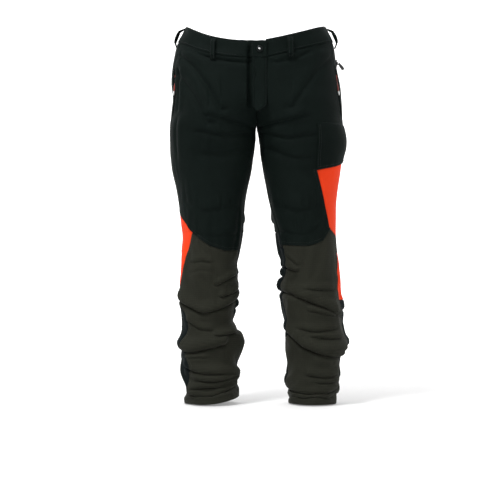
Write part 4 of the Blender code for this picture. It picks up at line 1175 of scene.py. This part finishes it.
def ribbon(name, line, width, thick, frame_at, look, body, nodes, slot, crown=0.0, twist=0.0):
    """A strap that follows a line of (out, up) points, with rounded edges and a crowned face.

    A twist turns it about its length, most in its middle.
    """
    line = np.array(line, float)
    shares = np.array([-1, -0.9, -0.6, -0.2, 0.2, 0.6, 0.9, 1.0])
    to_world = np.array(frame_at)
    points = np.empty((len(line), len(shares), 3))
    for j, share in enumerate(shares):
        spin = twist * np.sin(np.linspace(0, np.pi, len(line)))
        rise = crown * (1 - share**2) - 0.0003 * abs(share) ** 9
        local = np.stack([share * width / 2 * np.cos(spin) - rise * np.sin(spin),
                          line[:, 0] + rise * np.cos(spin) + share * width / 2 * np.sin(spin),
                          line[:, 1]], -1)
        points[:, j] = local @ to_world[:3, :3].T + to_world[:3, 3]
    run_length = np.concatenate([[0], np.cumsum(np.linalg.norm(np.diff(line, axis=0), axis=1))])
    coords = np.stack(np.broadcast_arrays(shares[None, :] * width / 2, -run_length[:, None]), -1)
    parts = (points, coords, turn_to(points, to_world[:3, 1]))
    return cloth_piece(name, parts, thick, look, body, nodes, slot)


LOOPS = {
    "front_right": ("right", -62.5, 0.012, 0.0088),
    "front_left": ("left", -69.5, 0.014, 0.0088),
    "side_right": ("right", -6, 0.012, 0.0100),
    "side_left": ("left", -6, 0.012, 0.0100),
    "back_right": ("right", 58, 0.013, 0.0088),
    "back_left": ("left", 58, 0.013, 0.0088),
    "back_centre": ("left", 90, 0.013, 0.0088),
}
LOOP_LENGTH = 0.052
LOOP_TWIST = {"side_left": 0.60, "side_right": -0.60}


def make_belt_loop(name, side, angle, width, stand_off):
    middle_z = float(waist_top(side, angle)) - 0.003 - LOOP_LENGTH / 2
    at = grid_frame(surface(side, angle, middle_z), outward(side, angle, middle_z))
    line = []
    for share in np.linspace(0, 1, 30):
        up = (0.5 - share) * LOOP_LENGTH
        skin = at.inverted() @ Vector(surface(side, angle, middle_z + up))
        lift = min(1.0, 1.6 * math.sin(math.pi * share))
        line.append((skin.y + 0.0034 + (stand_off - 0.0017) * lift, up))
    twist = LOOP_TWIST.get(name, 0.0)
    stem = "belt_loop_" + name
    piece = ribbon(stem, line, width, 0.0030 if twist else 0.0024, at, black, GARMENT, [stem],
                   "black_softshell", 0.0002, twist)
    to_world = np.array(at)
    paths = []
    for x in () if twist else (-0.30, 0.30):
        paths.append([(x * width, y + 0.0004, z) for y, z in line[1:-1]])
    for y, z in (line[2], line[3], line[-3], line[-4]):
        paths.append([(x * width, y + 0.0007, z) for x in np.linspace(-0.36, 0.36, 8)])
    rows = [(np.array(path) @ to_world[:3, :3].T + to_world[:3, 3],
             np.tile(to_world[:3, 1], (len(path), 1))) for path in paths]
    stitches("belt_loop_stitching_" + name, rows, thread, piece)


# --- Fly and press stud ---

joints = {joint["name"]: joint for joint in frame["joints"]}
fly_up = Vector(joints["fly_cover_hinge"]["axis"])
fly_top = Vector(joints["fly_cover_hinge"]["pos_m"])
fly_out = Vector((1, 0, 0)).cross(fly_up)
FLAP_EDGE = -0.0095
FLAP_FOOT = -0.1640
FLAP_HINGE = 0.0232
FLAP_SEAM = 0.0008


def fly_points(x, rise, down):
    """World points from distances across, out of and along the fly."""
    base = np.array(fly_top) * [0, 1, 1]
    return (base + np.asarray(x)[..., None] * [1, 0, 0] + np.asarray(rise)[..., None] * np.array(fly_out)
            + np.asarray(down)[..., None] * np.array(fly_up))


def make_flap():
    rows, columns = 60, 26
    down = np.linspace(-0.0370, FLAP_FOOT, rows)[:, None]
    share = np.linspace(0, 1, columns)[None, :]
    foot = step_up(-down, -FLAP_FOOT - 0.026, -FLAP_FOOT)
    edge = (FLAP_EDGE + 0.0050 * np.exp(-(((down + 0.069) / 0.018) ** 2))
            + 0.0012 * np.sin((down + 0.05) * 60) * step_up(-down, 0.08, 0.10) + 0.0080 * foot**4)
    hinge = FLAP_HINGE + FLAP_SEAM - 0.0170 * foot**3.4
    x = edge + (hinge - edge) * share
    ridge = (0.0008 * np.sin(share * np.pi) + 0.0022 * (1 - step_up(share, 0.0, 0.16)) * (1 - foot)
             - 0.0014 * (1 - step_up(1 - share, 0.0, 0.25)))
    waves = 0.0005 * np.sin(down * 120 + share * 3)
    points = fly_points(x + 0 * down, 0.0016 + ridge + waves, down + 0 * share)
    coords = np.stack(np.broadcast_arrays(x, down), -1)
    parts = (points[:, ::-1], coords[:, ::-1], turn_to(points[:, ::-1], fly_out))
    piece = panel("fly_flap", parts, 0.0016, "black_softshell", body=None)
    z = np.linspace(-0.0390, FLAP_FOOT + 0.004, 60)
    bend = step_up(-z, -FLAP_FOOT - 0.026, -FLAP_FOOT)
    line_x = FLAP_HINGE + FLAP_SEAM - NEAR_ROW - 0.0170 * bend**3.4
    row = (fly_points(line_x, 0.0020 + 0 * z, z), np.tile(np.array(fly_out), (len(z), 1)))
    stitches("fly_stitching", [row], thread, body="fly_cover")
    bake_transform(piece)


def make_tab():
    rows, columns = 26, 26
    down = np.linspace(0.0012, -0.0362, rows)[:, None]
    share = np.linspace(0, 1, columns)[None, :]
    x = -0.0130 + (FLAP_HINGE + 0.0010 + 0.0130) * share
    rise = 0.0036 + 0.0005 * np.sin(share * np.pi) - 0.0008 * (1 - step_up(1 - share, 0, 0.12)) \
        - 0.0005 * (2 * (0.0012 - down) / 0.0374 - 1) ** 8
    points = fly_points(x + 0 * down, rise + 0 * x, down + 0 * share)[:, ::-1]
    coords = np.stack(np.broadcast_arrays(x, down), -1)[:, ::-1]
    parts = (points, coords, turn_to(points, fly_out))
    piece = panel("waistband_tab", parts, 0.0024, "black_softshell", body=None)
    lines = []
    for x_values, z_values in (
            (np.linspace(-0.010, 0.022, 20), np.full(20, -0.0020)),
            (np.linspace(-0.010, 0.022, 20), np.full(20, -0.0330)),
            (np.full(20, -0.0102), np.linspace(-0.002, -0.033, 20))):
        lines.append((fly_points(x_values, 0.0042 + 0 * x_values, z_values),
                      np.tile(np.array(fly_out), (20, 1))))
    stitches("tab_stitching", lines, thread, body="fly_cover")
    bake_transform(piece)


def make_shield():
    rows, columns = 50, 16
    down = np.linspace(-0.037, -0.128, rows)[:, None]
    share = np.linspace(0, 1, columns)[None, :]
    x = -0.012 + 0.0335 * share
    points = fly_points(x + 0 * down, -0.0118 + 0.0004 * np.sin(down * 150) + 0 * share,
                        down + 0 * share)[:, ::-1]
    coords = np.stack(np.broadcast_arrays(x, down), -1)[:, ::-1]
    panel("fly_shield", (points, coords, turn_to(points, fly_out)), 0.0012, "black_softshell")


def turned(name, profile, origin, axis, look, body, nodes, slot, segments=48):
    """A round part about an axis through a point, from (radius, height) pairs."""
    at = grid_frame(origin, axis)
    verts, faces, rings = [], [], []
    for radius, height in profile:
        count = segments if radius else 1
        rings.append(list(range(len(verts), len(verts) + count)))
        for k in range(count):
            turn = 2 * math.pi * k / segments
            verts.append(at @ Vector((radius * math.cos(turn), height, radius * math.sin(turn))))
    for first, second in zip(rings, rings[1:]):
        for k in range(segments):
            n = (k + 1) % segments
            quad = [first[k % len(first)], first[n % len(first)], second[n % len(second)],
                    second[k % len(second)]]
            faces.append(tuple(dict.fromkeys(quad)))
    mesh = bpy.data.meshes.new(name)
    mesh.from_pydata([tuple(v) for v in verts], [], faces)
    tidy_normals(mesh, 35)
    return place(name, mesh, look, body, nodes, slot)


def make_snap():
    low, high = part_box("snap_cap")
    middle = (low + high) / 2
    cap = [(0, 0.0034), (0.0022, 0.0034), (0.0026, 0.0030), (0.0040, 0.0030), (0.0046, 0.0036),
           (0.0060, 0.0034), (0.0070, 0.0026), (0.0075, 0.0014), (0.0074, 0.0004), (0.0064, 0.0),
           (0, 0.0)]
    base = middle - Vector(fly_out) * 0.0009
    turned("snap_cap", cap, base, fly_out, gunmetal, "fly_cover", ["snap_cap"], "zip_metal")
    # The small centre stud is bright plated metal on the dark cap: a painted highlight at the top of the dome.
    stud = [(0, 0.0042), (0.0012, 0.0040), (0.0019, 0.0034), (0.0020, 0.0026), (0, 0.0026)]
    turned("snap_cap_painted_highlight", stud, base, fly_out, metal, "fly_cover", (), None)


# --- Zips ---

COIL_PITCH = 0.0012
COIL_RINGS = [(-1.0, 0.5), (-0.8, 1.0), (0.0, 0.85), (0.8, 1.0), (1.0, 0.5)]


def coil_piece(name, bars, rings, body):
    """Moulded coil turns: short rounded bars laid side by side across a zip."""
    verts, faces = rods(bars, rings, 6)
    mesh = bpy.data.meshes.new(name)
    mesh.from_pydata(verts, [], faces)
    tidy_normals(mesh, 60)
    place(name, mesh, coil, body)


def straight_coil(name, origin, along, across, out, length, half, radius, body):
    """A straight row of coil turns from an origin along a zip."""
    slanted = across * half + along * COIL_PITCH * 0.25
    bars = [(origin + along * (k + 0.5) * COIL_PITCH, slanted, along * radius, out * radius)
            for k in range(int(length / COIL_PITCH))]
    coil_piece(name, bars, COIL_RINGS, body)


def hip_frame(side):
    """The hip zip's frame: origin at its foot, Y out of the fabric, Z up along it."""
    top = Vector(surface(side, -19, HIP_ZIP_TOP_Z))
    foot = Vector(surface(side, -20, HIP_ZIP_END_Z))
    normal = outward(side, -19, (HIP_ZIP_TOP_Z + HIP_ZIP_END_Z) / 2)
    return grid_frame(foot, normal, (top - foot).normalized()), (top - foot).length


def make_hip_zip(side):
    at, length = hip_frame(side)
    x, y, z = [np.array(at.col[i].xyz) for i in range(3)]
    foot = np.array(at.col[3].xyz)
    line = [(-0.0048 + 0.0004 * math.sin(k), length * k / 29) for k in range(30)]
    tape = ribbon("hip_zip_" + side, line, 0.022, 0.0008, at, elastic, GARMENT, ["hip_zip_" + side],
                  "black_plastic")
    slider_low = length - 0.0105 - 0.0115
    straight_coil("hip_coil_" + side, foot + y * -0.0041, z, x, y, slider_low, 0.0022, 0.00065, GARMENT)
    make_slider("hip_" + side, at @ Matrix.Translation((0, -0.0054, slider_low)),
                "hip_zip_runner_" + side, metal)
    make_pull(side)


def prism_piece(name, outline, depth, at, look, body, nodes, slot, bevel):
    """An outline in the frame's X-Z plane with a thickness along Y and rounded edges."""
    count = len(outline)
    verts = [tuple(at @ Vector((x, y, z))) for y in (-depth / 2, depth / 2) for x, z in outline]
    faces = [tuple(range(count)), tuple(range(2 * count - 1, count - 1, -1))]
    faces += [(i, (i + 1) % count, count + (i + 1) % count, count + i) for i in range(count)]
    mesh = bpy.data.meshes.new(name)
    mesh.from_pydata(verts, [], faces)
    tidy_normals(mesh, 40)
    rounded(place(name, mesh, look, body, nodes, slot), bevel)


def rounded(piece, width, segments=3):
    """Rounds a piece's sharp edges."""
    modifier = piece.modifiers.new("Bevel", "BEVEL")
    modifier.width = width
    modifier.segments = segments
    modifier.limit_method = "ANGLE"


def make_slider(stem, at, body, look):
    """The CAD slider in plated metal, with a bridge over its back for the pull."""
    rounded(frame["nodes"][stem + "_slider"], 0.0004)
    turns = np.linspace(0, math.pi, 13)
    centre, tall = 0.0072, 0.0024
    outer_ring = [(centre + 0.0032 * math.cos(t), 0.0032 + tall * math.sin(t)) for t in turns]
    inner_ring = [(centre + 0.0023 * math.cos(t), 0.0032 + (tall - 0.0009) * math.sin(t)) for t in turns]
    outline = outer_ring + inner_ring[::-1]
    verts = [tuple(at @ Vector((x, y, z))) for x in (-0.0008, 0.0008) for z, y in outline]
    count = len(outline)
    faces = [(i, (i + 1) % count, count + (i + 1) % count, count + i) for i in range(count)]
    half = count // 2
    for base in (0, count):
        faces += [(base + k, base + k + 1, base + count - 2 - k, base + count - 1 - k)
                  for k in range(half - 1)]
    mesh = bpy.data.meshes.new(stem + "_bridge")
    mesh.from_pydata(verts, [], faces)
    tidy_normals(mesh, 40)
    place(stem + "_bridge", mesh, look, body)


def make_pull(side):
    """A red webbing pull folded through the bridge, with an arrow-shaped metal tip."""
    joint = joints["hip_pull_" + side + "_hinge"]
    origin = Vector(joint["pos_m"])
    slide = Vector(joints["hip_zip_" + side + "_slide"]["axis"])
    out = slide.cross(Vector(joint["axis"])).normalized()
    if out.x * SIDES[side] < 0:
        out = -out
    at = grid_frame(origin, out, -slide)
    body = "hip_pull_" + side
    line = [(0.0005 * math.cos(k / 3), 0.0016 - 0.0376 * k / 24) for k in range(25)]
    tape = ribbon(body + "_tape", [(y + 0.0004, z) for y, z in line], 0.0062, 0.0015, at, webbing, body,
                  [body + "_tape"], "red_tape", 0.0002)
    tip = [(-0.0024, -0.0365), (0.0024, -0.0365), (0.0034, -0.0400), (0.0026, -0.0445), (0.0, -0.0478),
           (-0.0026, -0.0445), (-0.0034, -0.0400)]
    prism_piece(body + "_tip", tip, 0.0026, at, metal, body, [body + "_tip"], "zip_metal", 0.0007)


def make_fly_zip():
    across, up, out = np.array((1.0, 0.0, 0.0)), np.array(fly_up), np.array(fly_out)
    sides = (("left", 0.0002, 0.0125, "fly_cover"), ("right", -0.0002, -0.0095, GARMENT))
    for name, near, far, body in sides:
        sign = 1 if name == "left" else -1
        rows = np.linspace(-0.040, -0.148, 40)[:, None]
        share = np.linspace(0, 1, 10)[None, :]
        x = 0.0065 + near + (far - near) * share
        rise = -0.0063 + 0.0001 * np.sin(rows * 900) + 0 * share
        points = fly_points(x + 0 * rows, rise, rows + 0 * share)
        coords = np.stack(np.broadcast_arrays(x, rows), -1)
        parts = (points, coords, turn_to(points, fly_out))
        panel("fly_zip_" + name, parts, 0.0007, "black_plastic", elastic, body)
        start = np.array(fly_points(np.array(0.0065 + sign * 0.0013), -0.0055, -0.148))
        straight_coil("fly_coil_" + name, start, up, across, out, 0.097, 0.0011, 0.0006, body)


def make_rear_zip():
    """The rear pocket's zip follows a level arc over the seat."""
    centre = Vector(joints["rear_zip_slide"]["pos_m"])
    radius_to = lambda p: math.hypot(p[0] - centre.x, p[1] - centre.y)
    node = frame["nodes"]["rear_zip_upper"]
    places = np.array([v.co for v in node.data.vertices])
    turns = np.arctan2(places[:, 1] - centre.y, places[:, 0] - centre.x)
    first, last = float(turns.min()), float(turns.max())
    inside = min(radius_to(p) for p in places)
    for name, sign in (("upper", 1), ("lower", -1)):
        turn = np.linspace(first, last, 60)[None, :]
        up = sign * np.linspace(0.0003, 0.0095, 8)[:, None]
        ripple = 0.00008 * np.sin(turn * 700)
        reach = inside + 0.0008 + ripple + 0 * up
        points = np.stack([centre.x + reach * np.cos(turn), centre.y + reach * np.sin(turn),
                           centre.z + up + 0 * turn], -1)
        if sign > 0:
            points = points[::-1]
        coords = np.stack(np.broadcast_arrays(turn * inside, up), -1)
        panel("rear_zip_" + name, (points, coords, 1), 0.0008, "black_plastic", elastic)
    bars = []
    for a in arc_steps(first, last, int((last - first) * inside / COIL_PITCH)):
        out = np.array([math.cos(a), math.sin(a), 0])
        along = np.array([-math.sin(a), math.cos(a), 0])
        middle = np.array(centre) + out * (inside + 0.0016)
        bars.append((middle, np.array([0, 0, 0.0022]) + along * 0.0003, along * 0.0006, out * 0.0006))
    coil_piece("rear_coil", bars, [ring for ring in COIL_RINGS if ring[0]], GARMENT)


def arc_steps(first, last, count):
    """The middles of this many equal steps between two turns."""
    return [first + (last - first) * (k + 0.5) / count for k in range(count)]


def make_rear_pull():
    """A short moulded tab that hangs out from the rear zip's slider."""
    joint = joints["rear_pull_hinge"]
    origin, wide = Vector(joint["pos_m"]), Vector(joint["axis"]).normalized()
    low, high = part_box("rear_pull")
    down = (low + high) / 2 - origin
    down = (down - wide * down.dot(wide)).normalized()
    thick = (-down).cross(wide)
    at = Matrix([(wide[i], thick[i], -down[i], origin[i]) for i in range(3)] + [(0, 0, 0, 1)])
    side = Matrix([(0, 1, 0, 0), (1, 0, 0, 0), (0, 0, 1, 0), (0, 0, 0, 1)])
    outline = [(-0.0022, 0.0016), (0.0022, 0.0016), (0.0024, -0.0030), (0.0034, -0.0075),
               (0.0036, -0.0150), (0.0024, -0.0185), (-0.0024, -0.0185), (-0.0034, -0.0150),
               (-0.0032, -0.0075), (-0.0024, -0.0030)]
    prism_piece("rear_pull", outline, 0.0074, at @ side, plastic, "rear_puller", ["rear_pull"],
                "black_plastic", 0.0010)


def make_bag(name, side, start, end, top, foot, near, far):
    """A flat pocket bag: a sleeve of lining pressed flat behind its panel."""
    rows = np.linspace(top, foot, 26)
    around = np.linspace(0, 1, 40, endpoint=False)
    share = np.where(around < 0.5, around * 2, 2 - around * 2)
    depth = np.where(around < 0.5, near, far)
    z, angle = np.meshgrid(rows, end + (start - end) * share, indexing="ij")
    rounding = 0.0008 * np.sin(np.linspace(0, np.pi, 26))[:, None]
    lift = depth[None, :] + np.where(around < 0.5, rounding, -rounding)
    points = surface(side, angle, z) + outward(side, angle, z) * lift[..., None]
    coords = np.stack([np.broadcast_to(around[None, :] * 0.16, z.shape), z], -1)
    panel(name, (points, coords, -SIDES[side]), 0.0006, "grey_lining", lining, closed=True)


for leg in SIDES:
    make_front(leg)
    make_knee(leg)
    make_seat(leg)
    make_back_leg(leg)
    make_side_panels(leg)
    make_hem(leg)
    make_inner_leg(leg)
    make_hip_zip(leg)
make_thigh_pocket()
make_waistband()
for loop_name, loop in LOOPS.items():
    make_belt_loop(loop_name, *loop)
make_flap()
make_tab()
make_shield()
make_snap()
make_fly_zip()
make_rear_zip()
make_rear_pull()
for leg in SIDES:
    make_bag("hip_pocket_bag_" + leg, leg, -28, -66, -0.100, -0.225, -0.0064, -0.0125)
make_bag("rear_pocket_bag", "left", 12, 52, -0.095, -0.205, -0.0065, -0.0115)
thicker = frame["nodes"]["fly_pull"].modifiers.new("Wall", "SOLIDIFY")
thicker.thickness = 0.0002
thicker.offset = 1
for name, rounding in (("fly_pull", 0.0002), ("rear_slider", 0.0004), ("fly_slider", 0.0003)):
    rounded(frame["nodes"][name], rounding, 2)
slots = {part["node"]: part["material_slot"] for part in frame["record"]["subparts"]}
for name, node in frame["nodes"].items():
    node.data.materials.clear()
    node.data.materials.append(NODE_LOOKS[slots[name]])


# --- Studio ---

WORLD_LIGHT = 0.26
FLOOR_GLOW = 0.25
WALL_GLOW = 0.95
SIDE_GLOW = 0.50
LIGHTS = {"key": ((-1.1, -1.5, 2.5), 0.7, 121), "fill": ((2.2, -2.2, 0.2), 1.6, 7),
          "rim": ((0.3, 1.7, 1.6), 1.2, 14)}


def make_backdrop():
    """A bowl of white paper, flat under the part, that glows a little so that it stays white."""
    scene = bpy.context.scene
    scene.view_settings.view_transform = "Standard"
    world = bpy.data.worlds.new("studio")
    scene.world = world
    world.use_nodes = True
    world.node_tree.nodes["Background"].inputs[0].default_value = (1.0, 1.0, 1.0, 1)
    world.node_tree.nodes["Background"].inputs[1].default_value = WORLD_LIGHT
    profile = [(0.0, 0.0), (0.8, 0.0), (2.2, 0.0), (4.6, 0.0)]
    bend = np.linspace(0.1, math.pi / 2, 12)
    profile += [(4.6 + 1.4 * math.sin(t), 1.4 - 1.4 * math.cos(t)) for t in bend]
    profile += [(6.0, 8.0)]
    floor_z, sides, count = HEM_Z - 0.0008, 96, len(profile) - 1
    turns = [2 * math.pi * k / sides for k in range(sides)]
    verts = [(0, 0, floor_z)]
    verts += [(r * math.cos(t), r * math.sin(t), floor_z + z) for t in turns for r, z in profile[1:]]
    faces = []
    for k in range(sides):
        p, q = 1 + k * count, 1 + (k + 1) % sides * count
        faces += [(0, p, q)] + [(p + i, p + i + 1, q + i + 1, q + i) for i in range(count - 1)]
    mesh = bpy.data.meshes.new("backdrop")
    mesh.from_pydata(verts, [], faces)
    mesh.shade_smooth()
    paper = Nodes("paper", (0.55, 0.55, 0.55), 0.95)
    paper.shader.inputs["Emission Color"].default_value = (1, 1, 1, 1)
    far = paper.add("ShaderNodeSeparateXYZ", {0: paper.add("ShaderNodeTexCoord").outputs["Object"]})
    glow = paper.add("ShaderNodeMapRange",
                     {0: far.outputs[1], 1: 0.0, 2: 2.2, 3: FLOOR_GLOW, 4: WALL_GLOW})
    wall = paper.add("ShaderNodeMapRange",
                     {0: far.outputs[2], 1: floor_z + 0.2, 2: floor_z + 1.4, 3: 0.0, 4: SIDE_GLOW})
    glow = paper.add("ShaderNodeMath", {0: glow.outputs[0], 1: wall.outputs[0]}, operation="MAXIMUM")
    paper.tree.links.new(glow.outputs[0], paper.shader.inputs["Emission Strength"])
    paper.colour(paper.noise(3.0), (0.54, 0.54, 0.54), (0.56, 0.56, 0.56))
    mesh.materials.append(paper.material)
    backdrop = bpy.data.objects.new("backdrop", mesh)
    scene.collection.objects.link(backdrop)


def make_lights():
    scene = bpy.context.scene
    for name, (at, size, power_w) in LIGHTS.items():
        light = bpy.data.lights.new(name, "AREA")
        light.energy = power_w
        light.size = size
        lamp = bpy.data.objects.new(name, light)
        scene.collection.objects.link(lamp)
        lamp.location = at
        lamp.rotation_euler = (Vector((0, 0, -0.45)) - Vector(at)).to_track_quat("-Z", "Y").to_euler()


def make_camera():
    scene = bpy.context.scene
    lens = bpy.data.cameras.new("camera")
    lens.lens = 105.8
    lens.sensor_width = 36
    camera = bpy.data.objects.new("camera", lens)
    scene.collection.objects.link(camera)
    camera.location = (-0.0159, -3.6, -0.544)
    camera.rotation_euler = (math.radians(90), 0, 0)
    scene.camera = camera


make_backdrop()
make_lights()
make_camera()
